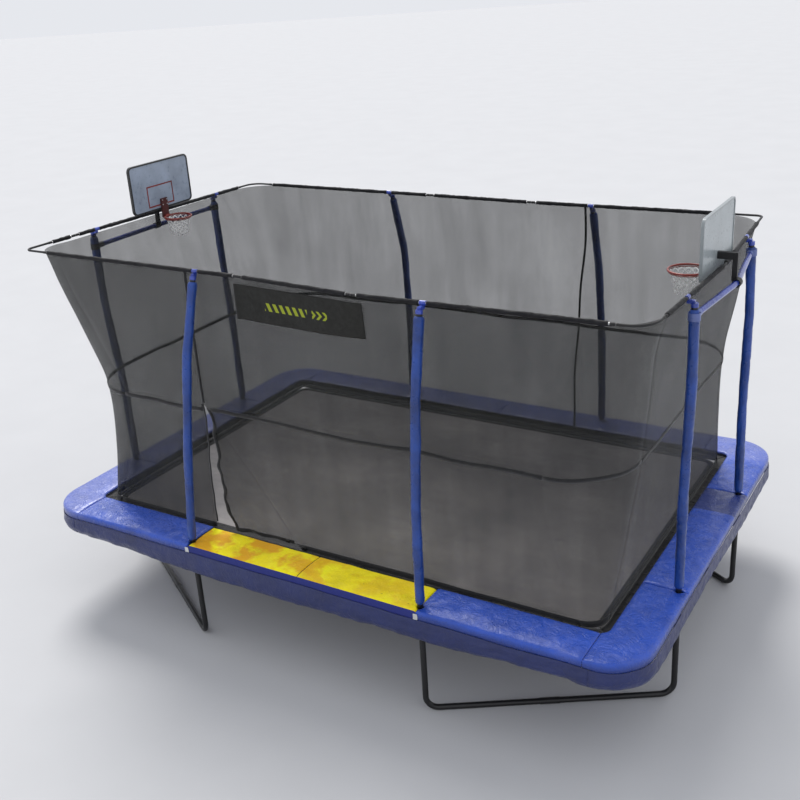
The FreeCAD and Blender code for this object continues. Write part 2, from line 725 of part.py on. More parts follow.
def net_walls():
    seam = 1.5
    levels = [lv[0] for lv in NET_LEVELS]
    y_push = V(0, NET_T, 0)
    x_push = V(NET_T, 0, 0)

    notches = pole_notches()

    def notched(sheet):
        for block in notches:
            if sheet.BoundBox.intersect(block.BoundBox):
                sheet = sheet.cut(block)
        return sheet.Solids[0]

    def wall(sign, heights, x_a, x_b):
        rows = []
        for z in heights:
            hy = net_size(z)[1]
            rows.append([pulled(x, sign * hy, z) for x in (x_a(z), -RING_F2.x, RING_F2.x, x_b(z))])
        rows[-1] = [under_ring(p) for p in rows[-1]]
        return notched(skin(rows, y_push * sign))

    def edge(z):
        hx, hy, r = net_size(z)
        return hx - r - seam

    back_wall = wall(1, levels, lambda z: -edge(z), edge)
    save("net_back", [back_wall])

    # front wall in one piece with a three-cornered door opening beside the zip
    whole = wall(-1, levels, lambda z: -edge(z), edge)
    y = -NET_LEVELS[0][2]
    low = NET_LEVELS[0][0]
    down = V(DOOR_END_X - ZIP_X, 0, low - SPLIT_Z) * 0.01
    head = V(ZIP_X, y - 20, SPLIT_Z) - down * 0.3
    cutter_pts = [head, V(DOOR_FOOT_X, y - 20, low - 10), V(DOOR_END_X, y - 20, low) + down]
    cutter = Part.Face(Part.makePolygon(cutter_pts + [cutter_pts[0]])).extrude(V(0, 40, 0))
    save("net_front", [whole.cut(cutter).Solids[0]])

    ends = []
    for sx in (-1, 1):
        rows = []
        for z in levels:
            hx, hy, r = net_size(z)
            reach = hy - r - seam
            middle = max(RING_L1.y if sx < 0 else RING_R1.y, -0.96 * reach)
            rows.append([pulled(sx * hx, y, z) for y in (-reach, middle, reach)])
        rows[-1] = [under_ring(p) for p in rows[-1]]
        ends.append(notched(skin(rows, x_push * sx)))
    save("net_ends", ends)

    corners = []
    for sx in (-1, 1):
        for sy in (-1, 1):
            rows = [corner_line(z, sx, sy) for z in levels]
            rows[-1] = [under_ring(p) for p in rows[-1]]
            corners.append(skin(rows, V(sx, sy, 0) * (NET_T / math.sqrt(2))))
    save("net_corners", corners)
    return back_wall


def net_strip(z0, z1, out, thick, notch=False):
    """Strip of webbing round the net, as walls and corners."""
    solids = []
    seam = 1.5
    for sign in (-1, 1):
        spans = [(-1.0, 1.0)]
        if notch and sign < 0:
            spans = [("left", None), (None, "right")]
        for span in spans:
            rows = []
            for z in (z0, z1):
                hx, hy, r = net_size(z)
                a = -(hx - r - seam)
                b = hx - r - seam
                if span == ("left", None):
                    b = DOOR_FOOT_X - 6
                elif span == (None, "right"):
                    a = DOOR_END_X + 6
                rows.append([V(a, sign * (hy + out), z), V(b, sign * (hy + out), z)])
            solids.append(skin(rows, V(0, sign * thick, 0)))
    for sx in (-1, 1):
        rows = []
        for z in (z0, z1):
            hx, hy, r = net_size(z)
            rows.append([V(sx * (hx + out), -(hy - r - seam), z), V(sx * (hx + out), hy - r - seam, z)])
        solids.append(skin(rows, V(sx * thick, 0, 0)))
        for sy in (-1, 1):
            rows = [corner_line(z, sx, sy, out) for z in (z0, z1)]
            solids.append(skin(rows, V(sx, sy, 0) * (thick / math.sqrt(2))))
    return solids


def door_points():
    """Flap corners in the front wall's plane: top, loose foot, fold foot."""
    top = V(ZIP_X, 0, SPLIT_Z)
    fold = V(DOOR_END_X, 0, NET_LEVELS[0][0])
    slope = (fold - top).normalize()
    inward = V(slope.z, 0, -slope.x)
    if inward.x > 0:
        inward = inward * -1
    a = top + slope * 22 + inward * FLAP_GAP
    c_far = fold + inward * FLAP_GAP
    t = (FLAP_LOW - a.z) / (c_far.z - a.z)
    c = a + (c_far - a) * t
    b = V(FLAP_FOOT_X, 0, FLAP_LOW)
    return a, b, c


def net_trim(back_wall):
    out = NET_T + 0.4
    whole_band = net_strip(BAND_Z - BAND_H / 2, BAND_Z + BAND_H / 2, out, 2.0)
    save("net_mid_band", whole_band[1:] + front_band(out))
    save("net_bottom_hem", net_strip(NET_LEVELS[0][0], NET_LEVELS[0][0] + HEM_H, out, 3.0, notch=True))
    # upright seam in the back wall, close to the right pole and leaning with it
    half = 9.0
    outside = back_wall.copy()
    outside.translate(V(0, NET_T + 0.4, 0))

    def seam_x(z):
        share = (z - NET_LEVELS[0][0]) / (NET_LEVELS[-1][0] - NET_LEVELS[0][0])
        return SEAM_LOW_X + (SEAM_TOP_X - SEAM_LOW_X) * share

    def seam_strip(z0, z1):
        corners = [V(seam_x(z0) - half, RING_Y - 200, z0), V(seam_x(z0) + half, RING_Y - 200, z0),
                   V(seam_x(z1) + half, RING_Y - 200, z1), V(seam_x(z1) - half, RING_Y - 200, z1)]
        prism = Part.Face(Part.makePolygon(corners + [corners[0]])).extrude(V(0, 400, 0))
        return outside.common(prism).Solids[0]

    save("net_back_seam", [seam_strip(NET_LEVELS[0][0] + HEM_H + 2, BAND_Z - BAND_H / 2 - 2),
                           seam_strip(BAND_Z + BAND_H / 2 + 2, SEAM_TOP_Z)])


def front_band(out):
    """Front run of the middle band, stopping either side of the door zip."""
    z0, z1 = BAND_Z - BAND_H / 2, BAND_Z + BAND_H / 2
    hy = net_size(z0)[1] + out
    a, b, c = door_points()

    def reach(z):
        hx, half, r = net_size(z)
        return hx - r - 1.5

    t = (SPLIT_Z - z0) / (SPLIT_Z - NET_LEVELS[0][0])
    fold_x = ZIP_X + (DOOR_END_X - ZIP_X) * t + 14
    left = skin([[V(-reach(z0), -hy, z0), V(ZIP_X - 20, -hy, z0)],
                 [V(-reach(z1), -hy, z1), V(ZIP_X - 20, -hy, z1)]], V(0, -2, 0))
    right = skin([[V(fold_x, -hy, z0), V(reach(z0), -hy, z0)],
                  [V(fold_x, -hy, z1), V(reach(z1), -hy, z1)]], V(0, -2, 0))
    return [left, right]


def door():
    """Loose three-cornered flap with its bindings, the zip and its slider."""
    hy = NET_LEVELS[0][2]
    a, b, c = door_points()

    def face_up(p):
        return V(p.x, -hy, p.z)

    pts = [face_up(a), face_up(b), face_up(c)]
    flap = Part.Face(Part.makePolygon(pts + [pts[0]])).extrude(V(0, -NET_T, 0))
    save("door_flap_net", [flap])

    # thick binding down the loose edge and along the foot, outside the flap
    def band(p, q, width, side, thick, lift):
        along = (q - p).normalize()
        across = V(-along.z, 0, along.x) * side
        corners = [p, q, q + across * width, p + across * width]
        poly = [V(k.x, -hy - lift, k.z) for k in corners]
        return Part.Face(Part.makePolygon(poly + [poly[0]])).extrude(V(0, -thick, 0))

    lift = NET_T + 0.3
    drop = (b - a).normalize()
    edge_side = -1 if b.x > a.x else 1
    bindings = [band(a + drop * 60, b, 18.0, edge_side, 4.0, lift)]
    foot_a = V(b.x + 24, 0, b.z)
    foot_b = V(c.x - 46, 0, c.z)
    bindings.append(band(foot_a, foot_b, 26.0, 1, 3.0, lift))
    save("door_flap_bindings", bindings)

    # fixed edge: zip tape on the pole side of the opening, and closed zip above the split
    foot = V(DOOR_FOOT_X - 2, 0, NET_LEVELS[0][0] + HEM_H + 4)
    head = V(ZIP_X - 3, 0, SPLIT_Z - 24)
    save("door_fixed_edge", [band(foot, head, 10.0, 1, 3.0, lift)])
    rows = []
    for z in (SPLIT_Z + 8, 2250.0, 2560.0, 2736.0):
        y = -(net_size(z)[1] + lift)
        rows.append([pulled(ZIP_X - 12, y, z), pulled(ZIP_X + 12, y, z)])
    save("door_zip_tape", [skin(rows, V(0, -2.0, 0))])
    y_out = -(hy + lift + 2.0 + 9.0)
    body = box(ZIP_X - 8, ZIP_X + 8, y_out - 7, y_out, SPLIT_Z - 16, SPLIT_Z + 10)
    save("zip_slider", [body])
    pull = box(ZIP_X - 5, ZIP_X + 5, y_out - 9.5, y_out - 7.3, SPLIT_Z - 46, SPLIT_Z - 2)
    eye = Part.makeCylinder(2.2, 8, V(ZIP_X, y_out - 12, SPLIT_Z - 40), V(0, 1, 0))
    save("zip_pull", [pull.cut(eye).Solids[0]])

    # side-release clip that closes the foot of the door: one half on the flap, one on the net
    clip_y = -(hy + lift + 3.4)
    save("door_clip_flap_half", [box(c.x - 92, c.x - 60, clip_y - 9, clip_y, FLAP_LOW + 2, FLAP_LOW + 24)])
    net_side = DOOR_END_X + 16
    save("door_clip_net_half", [box(net_side, net_side + 34, clip_y - 9, clip_y, 796, 820)])


def banner():
    """Cloth banner hung on the front net under the ring."""
    rows = []
    for z in (2470.0, 2560.0, 2700.0):
        y = -(net_size(z)[1] + NET_T + 9.0)
        rows.append([pulled(x, y, z) for x in (-500, -460, 460, 530)])
    save("banner", [skin(rows, V(0, -2.0, 0))])


# ---------------------------------------------------------------- boards and hoops
def cross_tube_points(sx, sy):
    """One half of a cross tube: from the pole clamp to the middle joint."""
    end = ENDS[sx]
    pole = pole_at(sx, sy, end["cross_z"])
    return pole, V(pole.x, sy * (POLE_Y - FOAM_R - 10), end["cross_z"]), V(sx * end["bow_x"], 0, end["cross_z"])


def pole_at(sx, sy, z):
    """Centre of an end pole at a height above its kink."""
    name = {-1: "left", 1: "right"}[sx] + {-1: "_front", 1: "_back"}[sy]
    foot, mid, kink, top = POLES[name]
    t = (z - POLE_KINK_Z) / (2735.0 - POLE_KINK_Z)
    return V(kink.x + t * (top.x - kink.x), kink.y, z)


def cross_tubes():
    halves = []
    clamps = []
    for sx in (-1, 1):
        for sy in (-1, 1):
            pole, a, b = cross_tube_points(sx, sy)
            step = (b - a).normalize()
            halves.append(rod(a, b - step * 2, CROSS_R, CROSS_R - TUBE_WALL))
            lean = (pole_at(sx, sy, pole.z + 50) - pole).normalize()
            collar = Part.makeCylinder(FOAM_R + 4.5, 46, pole - lean * 23, lean)
            bore = Part.makeCylinder(FOAM_R + 1.2, 80, pole - lean * 40, lean)
            cup = Part.makeCylinder(CROSS_R + 3.5, 44, a - step * 8, step)
            hole = Part.makeCylinder(CROSS_R + FIT, 60, a - step * 0.5, step)
            whole = collar.cut(bore).fuse(cup).cut(hole).cut(bore)
            clamps.append(whole.Solids[0])
    save("cross_tubes", halves)
    save("cross_tube_clamps", clamps)


def boards():
    panels = []
    trims = []
    posts = []
    saddles = []
    mounts = []
    hoops = []
    nets = []
    bolts = []
    half = BOARD_W / 2
    trim = 13.0
    for sx in (-1, 1):
        end = ENDS[sx]
        board_low = end["board_low"]
        hoop_x, hoop_z, hoop_r = end["hoop_x"], end["hoop_z"], end["hoop_r"]
        x = sx * end["board_x"]

        def plate(grow, thick):
            p = box(x - thick / 2, x + thick / 2, -half - grow, half + grow, board_low - grow,
                    board_low + BOARD_H + grow)
            ends = [e for e in p.Edges if abs(e.Vertexes[0].X - e.Vertexes[-1].X) > thick / 2]
            return p.makeFillet(BOARD_R + grow, ends)

        panel = plate(-3.0, BOARD_T)
        panels.append(panel.Solids[0])
        edge = plate(0.0, BOARD_T + 8).cut(plate(-trim, BOARD_T + 20)).cut(plate(-2.6, BOARD_T + 0.6))
        trims.append(edge.Solids[0])

        # short post behind the board, clamped to the middle of the cross tube
        back = end["board_x"] + BOARD_T / 2 + 0.4
        tube_x, tube_z = end["bow_x"], end["cross_z"]
        arm_z = board_low + end["arm_low"]
        saddle_half = 26.0
        bow = abs(tube_x - abs(pole_at(sx, 1, tube_z).x)) / POLE_Y
        slack = FIT + 0.3 + saddle_half * bow
        saddle = Part.makeCylinder(CROSS_R + slack + 5, 2 * saddle_half, V(sx * tube_x, -saddle_half, tube_z), V(0, 1, 0))
        post_a, post_b = sorted((sx * (tube_x - 34), sx * (tube_x - 2)))
        post = box(post_a, post_b, -12, 12, tube_z + 10, arm_z + 44)
        arm_a, arm_b = sorted((sx * back, sx * (tube_x - 20)))
        arm = box(arm_a, arm_b, -15, 15, arm_z, arm_z + 44)
        whole = saddle.fuse(post).fuse(arm)
        bore = Part.makeCylinder(CROSS_R + slack, 4 * saddle_half, V(sx * tube_x, -2 * saddle_half, tube_z), V(0, 1, 0))
        whole = whole.cut(bore).removeSplitter()
        posts.append(whole.Solids[0])

        # dark red box and arm in front, and the hoop
        face = end["board_x"] - BOARD_T / 2 - 0.4
        plate_t = 14.0
        m_a, m_b = sorted((sx * (face - plate_t), sx * face))
        mount_low = min(hoop_z - 14, board_low + 6)
        mount = box(m_a, m_b, -36, 36, mount_low, board_low + 84)
        r_a, r_b = sorted((sx * (face - 4.4), sx * (face + 4)))
        relief = box(r_a, r_b, -40, 40, board_low - 0.6, board_low + trim + 0.6)
        mounts.append(mount.cut(relief).Solids[0])
        ringy = Part.makeTorus(hoop_r, HOOP_WIRE, V(sx * hoop_x, 0, hoop_z), UP)
        lug_a, lug_b = sorted((sx * (hoop_x + hoop_r - 2), sx * (face - plate_t - 0.4)))
        lug = box(lug_a, lug_b, -24, 24, hoop_z - 10, hoop_z + 10)
        hoops.append(ringy.fuse(lug).Solids[0])
        cone_top = hoop_r - 13
        cone_low = 0.62 * hoop_r
        base = V(sx * hoop_x, 0, hoop_z - 11 - HOOP_NET_DROP)
        outer = Part.makeCone(cone_low, cone_top, HOOP_NET_DROP, base, UP)
        inner = Part.makeCone(cone_low - 3, cone_top - 3, HOOP_NET_DROP, base, UP)
        nets.append(outer.cut(inner).Solids[0])
        for y in (-24, 24):
            for z in (board_low + 34, board_low + 72):
                start = sx * (face - plate_t - 0.4)
                bolts.append(Part.makeCylinder(5, 5, V(start, y, z), V(-sx, 0, 0)))
    save("backboard_panels", panels)
    save("backboard_trims", trims)
    save("backboard_posts", posts)
    save("hoop_mounts", mounts)
    save("hoops", hoops)
    save("hoop_nets", nets)
    save("hoop_mount_bolts", bolts)


def fasteners():
    """Screw heads on the outside of every rail joint socket."""
    heads = []
    for rail, leg, along in stations():
        out = leg.sub(rail).normalize()
        for z in (SOCKET_LOW + 30, SOCKET_TOP - 40):
            start = V(leg.x, leg.y, z) + out * (SOCKET_R + 0.1)
            heads.append(Part.makeCylinder(6.5, 4.5, start, out))
    save("socket_screws", heads)


rails()
rail_joints()
legs()
poles()
pole_tops()
ring()
mat()
springs()
pads()
skirts()
back_wall = net_walls()
net_trim(back_wall)
door()
banner()
cross_tubes()
boards()
fasteners()
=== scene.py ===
import math

import bmesh
import bpy
import numpy as np
from mathutils import Matrix, Vector, noise


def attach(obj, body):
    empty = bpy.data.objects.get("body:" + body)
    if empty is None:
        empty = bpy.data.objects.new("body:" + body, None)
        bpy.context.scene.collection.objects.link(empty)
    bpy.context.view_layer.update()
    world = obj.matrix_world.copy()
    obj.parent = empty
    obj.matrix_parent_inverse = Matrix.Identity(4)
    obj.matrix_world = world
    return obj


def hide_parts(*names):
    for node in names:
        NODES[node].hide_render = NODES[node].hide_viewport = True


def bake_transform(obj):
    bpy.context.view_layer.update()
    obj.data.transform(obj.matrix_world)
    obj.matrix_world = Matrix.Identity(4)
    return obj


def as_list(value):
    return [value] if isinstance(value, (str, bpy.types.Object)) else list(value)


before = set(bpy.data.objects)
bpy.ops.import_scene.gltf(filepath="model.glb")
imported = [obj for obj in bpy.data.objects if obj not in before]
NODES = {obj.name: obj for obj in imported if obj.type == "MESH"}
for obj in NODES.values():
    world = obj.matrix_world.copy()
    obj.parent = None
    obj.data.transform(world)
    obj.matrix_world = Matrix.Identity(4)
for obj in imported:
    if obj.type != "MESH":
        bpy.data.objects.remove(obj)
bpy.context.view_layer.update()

# ------------------------------------------------------------------ shared dimensions (metres)
POLE_X, POLE_Y = 0.949, 0.717
RING_X, RING_Y = 2.330, 1.290
RAIL_Z = 0.765
MAT_X, MAT_Y, MAT_R, MAT_T = 2.035, 1.275, 0.110, 0.003
PAD_IN_X, PAD_IN_Y, PAD_IN_R = 2.100, 1.345, 0.060
PAD_OUT_X, PAD_OUT_Y, PAD_OUT_R = 2.400, 1.645, 0.300
PAD_LOW = 0.794
NET_T, NET_LOW, NET_TOP = 0.0012, 0.790, 2.738
# height, half length, half width and corner radius of the net
NET_LEVELS = np.array([
    (NET_LOW, 2.045, 1.305, 0.120),
    (1.250, 2.075, 1.305, 0.330),
    (1.800, 2.120, 1.305, 0.440),
    (2.250, 2.200, 1.300, 0.330),
    (2.560, 2.270, 1.293, 0.260),
    (NET_TOP, 2.322, 1.284, 0.250)])
ZIP_X, SPLIT_Z = -0.910, 1.786
DOOR_END_X, DOOR_FOOT_X = -0.180, -0.950
WEB_OUT = 0.0035  # how far webbing stands in front of the net
CLOTH_T = 0.0012
BAND_Z, HEM_H = 1.750, 0.042

# the top ring, pulled out of square by the net
FL, F1 = (-2.410, -1.360, 2.790), (-0.460, -1.300, 2.760)
F2, FR = (0.460, -1.362, 2.752), (2.292, -1.300, 2.746)
R1, BR, L1 = (2.318, 0.0, 2.740), (2.228, 1.344, 2.736), (-2.336, -0.940, 2.804)
BL, B1, B2 = (-2.348, 1.252, 2.765), (-0.460, 1.244, 2.760), (0.460, 1.248, 2.752)
RING = {
    "front": (np.array((FL, F1, F2, FR)), 0), "back": (np.array((BL, B1, B2, BR)), 0),
    "left": (np.array((FL, L1, BL)), 1), "right": (np.array((FR, R1, BR)), 1)}
# poles: foot, and x and y at 1.5 m, at the kink at 2.2 m and at the top
POLES = {
    "front_left": ((-0.949, -1.580), (-0.890, -1.556), (-0.834, -1.486), (-0.815, -1.340)),
    "front_right": ((0.949, -1.580), (0.949, -1.562), (0.949, -1.492), (0.949, -1.394)),
    "back_left": ((-0.949, 1.580), (-0.926, 1.562), (-0.882, 1.466), (-0.864, 1.292)),
    "back_right": ((0.949, 1.580), (0.949, 1.562), (0.949, 1.468), (0.949, 1.316)),
    "left_front": ((-2.336, -0.717), (-2.332, -0.717), (-2.390, -0.717), (-2.382, -0.717)),
    "left_back": ((-2.336, 0.717), (-2.338, 0.717), (-2.370, 0.717), (-2.386, 0.717)),
    "right_front": ((2.336, -0.717), (2.336, -0.717), (2.352, -0.717), (2.346, -0.717)),
    "right_back": ((2.336, 0.717), (2.322, 0.717), (2.324, 0.717), (2.306, 0.717))}


def ring_at(side, value):
    """Point of a side of the ring at a value of x (long sides) or y (short sides)."""
    points, axis = RING[side]
    return np.stack([np.interp(value, points[:, axis], points[:, k]) for k in range(3)], axis=-1)


# ------------------------------------------------------------------ camera
def make_camera():
    place, lens_mm, sensor_mm = (3.912, -6.334, 4.576), 47.106, 36.0
    yaw, pitch, roll = 0.565, 0.396, -0.065
    fwd = Vector((-math.sin(yaw) * math.cos(pitch), math.cos(yaw) * math.cos(pitch), -math.sin(pitch)))
    right = Vector((math.cos(yaw), math.sin(yaw), 0.0))
    up = right.cross(fwd)
    r = right * math.cos(roll) + up * math.sin(roll)
    u = up * math.cos(roll) - right * math.sin(roll)
    data = bpy.data.cameras.new("camera")
    data.sensor_width = sensor_mm
    data.lens = lens_mm
    data.clip_end = 100.0
    cam = bpy.data.objects.new("camera", data)
    bpy.context.collection.objects.link(cam)
    basis = Matrix((r, u, -fwd)).transposed()
    cam.matrix_world = Matrix.Translation(place) @ basis.to_4x4()
    bpy.context.scene.camera = cam


make_camera()


# ------------------------------------------------------------------ mesh helpers
def make_mesh(name, verts, faces, uvs=None, smooth=True):
    me = bpy.data.meshes.new(name)
    me.from_pydata([tuple(v) for v in verts], [], faces)
    me.validate()
    if uvs is not None:
        layer = me.uv_layers.new(name="UVMap")
        idx = np.empty(len(me.loops), int)
        me.loops.foreach_get("vertex_index", idx)
        layer.data.foreach_set("uv", np.asarray(uvs, np.float32)[idx].ravel())
    if smooth:
        me.polygons.foreach_set("use_smooth", [True] * len(me.polygons))
    me.update()
    ob = bpy.data.objects.new(name, me)
    bpy.context.collection.objects.link(ob)
    return ob


def grid_quads(nr, nc, offset=0, flip=False, wrap=False):
    out = []
    for i in range(nr - 1):
        for j in range(nc if wrap else nc - 1):
            k = (j + 1) % nc
            low, high = offset + i * nc, offset + (i + 1) * nc
            q = (low + j, low + k, high + k, high + j)
            out.append(q[::-1] if flip else q)
    return out


def grid_normals(p):
    """Unit normals of a grid of points (rows, columns, 3)."""
    du = np.gradient(p, axis=1)
    dv = np.gradient(p, axis=0)
    n = np.cross(du, dv)
    return n / np.maximum(np.linalg.norm(n, axis=2, keepdims=True), 1e-9)


def grid_uv(p):
    """Arc length along rows and columns, so that a weave keeps its real size."""
    du = np.linalg.norm(np.diff(p, axis=1), axis=2).mean(axis=0)
    dv = np.linalg.norm(np.diff(p, axis=0), axis=2).mean(axis=1)
    u = np.concatenate([[0], np.cumsum(du)])
    v = np.concatenate([[0], np.cumsum(dv)])
    return np.stack(np.meshgrid(u, v), axis=2)


def thick_sheet(name, p, thick, normals=None):
    """Closed thin sheet from a grid of points: the grid, its offset copy, and a rim."""
    nr, nc = p.shape[:2]
    n = grid_normals(p) if normals is None else normals
    back = p - n * thick
    verts = np.concatenate([p.reshape(-1, 3), back.reshape(-1, 3)])
    uv = grid_uv(p).reshape(-1, 2)
    faces = grid_quads(nr, nc) + grid_quads(nr, nc, nr * nc, flip=True)
    m = nr * nc
    edge = [j for j in range(nc)] + [i * nc + nc - 1 for i in range(1, nr)]
    edge += [(nr - 1) * nc + j for j in range(nc - 2, -1, -1)] + [i * nc for i in range(nr - 2, 0, -1)]
    for a, b in zip(edge, edge[1:] + edge[:1]):
        faces.append((b, a, m + a, m + b))
    return make_mesh(name, verts, faces, np.concatenate([uv, uv]))


def tube(name, path, radius, sides=16, closed=False, caps=True, up=(0, 0, 1)):
    """Round tube along points; radius is one number, a list for each point, or a grid of them."""
    path = np.asarray(path, float)
    n = len(path)
    if closed:
        tan = np.roll(path, -1, 0) - np.roll(path, 1, 0)
    else:
        tan = np.gradient(path, axis=0)
    tan /= np.linalg.norm(tan, axis=1, keepdims=True)
    up = np.array(up, float)
    if abs(np.dot(up, tan[0])) > 0.95:
        up = np.array((1.0, 0, 0))
    x = np.cross(up, tan[0])
    x /= np.linalg.norm(x)
    frames = []
    for t in tan:
        x = x - t * np.dot(x, t)
        x /= np.linalg.norm(x)
        frames.append((x.copy(), np.cross(t, x)))
    ang = np.linspace(0, 2 * math.pi, sides, endpoint=False)
    rad = np.asarray(radius, float)
    if rad.ndim == 0:
        rad = np.full((n, sides), float(rad))
    elif rad.ndim == 1:
        rad = np.repeat(rad[:, None], sides, 1)
    verts = []
    run = np.concatenate([[0], np.cumsum(np.linalg.norm(np.diff(path, axis=0), axis=1))])
    uvs = []
    for i in range(n):
        x, y = frames[i]
        for j, a in enumerate(ang):
            verts.append(path[i] + (x * math.cos(a) + y * math.sin(a)) * rad[i, j])
            uvs.append((a * rad.mean(), run[i]))
    faces = grid_quads(n, sides, wrap=True)
    if closed:
        base = (n - 1) * sides
        for j in range(sides):
            k = (j + 1) % sides
            faces.append((base + j, base + k, k, j))
    elif caps:
        faces.append(tuple(range(sides))[::-1])
        faces.append(tuple((n - 1) * sides + j for j in range(sides)))
    return make_mesh(name, verts, faces, uvs)


def join(name, objs):
    """One object from several, keeping the first one's materials."""
    bpy.ops.object.select_all(action="DESELECT")
    for o in objs:
        o.select_set(True)
    bpy.context.view_layer.objects.active = objs[0]
    bpy.ops.object.join()
    objs[0].name = name
    objs[0].data.name = name
    return objs[0]


def fbm(x, y, z=0.0, octaves=3):
    return noise.fractal(Vector((x, y, z)), 1.0, 2.0, octaves)


# ------------------------------------------------------------------ materials
class Nodes:
    """Small helper that wires a material's nodes."""

    def __init__(self, name, base, rough=0.5, metal=0.0, spec=None):
        self.mat = bpy.data.materials.new(name)
        self.mat.use_nodes = True
        self.tree = self.mat.node_tree
        self.bsdf = self.tree.nodes["Principled BSDF"]
        self.bsdf.inputs["Base Color"].default_value = (*base, 1)
        self.bsdf.inputs["Roughness"].default_value = rough
        self.bsdf.inputs["Metallic"].default_value = metal
        if spec is not None:
            self.bsdf.inputs["Specular IOR Level"].default_value = spec

    def add(self, kind, **values):
        node = self.tree.nodes.new(kind)
        for key, value in values.items():
            if key in node.inputs:
                node.inputs[key].default_value = value
            else:
                setattr(node, key, value)
        return node

    def link(self, a, b):
        self.tree.links.new(a, b)

    def coords(self, which="Object"):
        if not hasattr(self, "_tc"):
            self._tc = self.add("ShaderNodeTexCoord")
        return self._tc.outputs[which]

    def noise(self, scale, detail=4.0, rough=0.55, which="Object", stretch=None):
        node = self.add("ShaderNodeTexNoise", Scale=scale, Detail=detail, Roughness=rough)
        source = self.coords(which)
        if stretch:
            mapping = self.add("ShaderNodeMapping")
            mapping.inputs["Scale"].default_value = stretch
            self.link(source, mapping.inputs["Vector"])
            source = mapping.outputs["Vector"]
        self.link(source, node.inputs["Vector"])
        return node.outputs["Fac"]

    def ramp(self, fac, stops):
        node = self.add("ShaderNodeValToRGB")
        ramp = node.color_ramp
        while len(ramp.elements) < len(stops):
            ramp.elements.new(0.5)
        for element, (pos, col) in zip(ramp.elements, stops):
            element.position = pos
            element.color = (*col, 1) if len(col) == 3 else col
        self.link(fac, node.inputs["Fac"])
        return node.outputs["Color"]

    def spread(self, fac, low, high, a=0.0, b=1.0):
        node = self.add("ShaderNodeMapRange")
        node.inputs["From Min"].default_value = a
        node.inputs["From Max"].default_value = b
        node.inputs["To Min"].default_value = low
        node.inputs["To Max"].default_value = high
        self.link(fac, node.inputs["Value"])
        return node.outputs["Result"]

    def math(self, op, a, b=None):
        node = self.add("ShaderNodeMath", operation=op)
        for slot, value in zip(node.inputs, (a, b)):
            if value is None:
                continue
            if isinstance(value, (int, float)):
                slot.default_value = value
            else:
                self.link(value, slot)
        return node.outputs[0]

    def bump(self, height, strength, distance, normal=None):
        node = self.add("ShaderNodeBump", Strength=strength, Distance=distance)
        self.link(height, node.inputs["Height"])
        if normal is not None:
            self.link(normal, node.inputs["Normal"])
        return node.outputs["Normal"]

    def wave(self, scale, axis="X", which="UV", distortion=0.0):
        node = self.add("ShaderNodeTexWave", Scale=scale, Distortion=distortion)
        node.bands_direction = axis
        self.link(self.coords(which), node.inputs["Vector"])
        return node.outputs["Fac"]

    def shades(self, fac, base, dark, light, places=(0.3, 0.5, 0.7)):
        """Three shades of one colour, from a darker to a lighter one."""
        return self.ramp(fac, list(zip(places, tones(base, dark, light))))

    def grit(self, scale, rough, less=0.1, more=0.1, detail=4.0):
        """Roughness that varies from place to place round a value."""
        self.rough(self.spread(self.noise(scale, detail), rough - less, rough + more, 0.3, 0.7))

    def coat(self, weight, rough):
        self.bsdf.inputs["Coat Weight"].default_value = weight
        self.bsdf.inputs["Coat Roughness"].default_value = rough

    def sheen(self, weight):
        self.bsdf.inputs["Sheen Weight"].default_value = weight

    def weave(self, scale, op, scale_y=None):
        """Threads along U and V, combined by a maths operation."""
        return self.math(op, self.wave(scale, "X"), self.wave(scale_y or scale, "Y"))

    def color(self, out):
        self.link(out, self.bsdf.inputs["Base Color"])

    def rough(self, out):
        self.link(out, self.bsdf.inputs["Roughness"])

    def normal(self, out):
        self.link(out, self.bsdf.inputs["Normal"])


def tones(base, dark=0.75, light=1.25):
    return [tuple(min(1, c * k) for c in base) for k in (dark, 1.0, light)]


def painted(name, base, rough=0.38, coat=0.0, bump=0.15):
    m = Nodes(name, base, rough)
    m.color(m.shades(m.noise(3.0, 3), base, 0.7, 1.5, (0.3, 0.5, 0.75)))
    m.grit(90.0, rough, 0.08, 0.14, 3)
    m.normal(m.bump(m.noise(420.0, 2), bump, 0.0004))
    m.coat(coat, 0.12)
    return m.mat


def plated(name, base=(0.62, 0.62, 0.64), rough=0.34):
    m = Nodes(name, base, rough, metal=1.0)
    cell = m.add("ShaderNodeTexVoronoi", Scale=130.0)
    m.link(m.coords(), cell.inputs["Vector"])
    spangle = m.spread(cell.outputs["Distance"], 0, 1, 0, 0.9)
    m.color(m.shades(spangle, base, 0.78, 1.15, (0.1, 0.5, 0.9)))
    m.grit(60.0, rough, 0.08, 0.2)
    m.normal(m.bump(m.noise(300.0, 2), 0.1, 0.0002))
    return m.mat


def plastic(name, base, rough=0.45):
    m = Nodes(name, base, rough)
    m.color(m.shades(m.noise(14.0), base, 0.8, 1.3))
    m.grit(160.0, rough, 0.06)
    m.normal(m.bump(m.noise(700.0, 2), 0.2, 0.0002))
    return m.mat


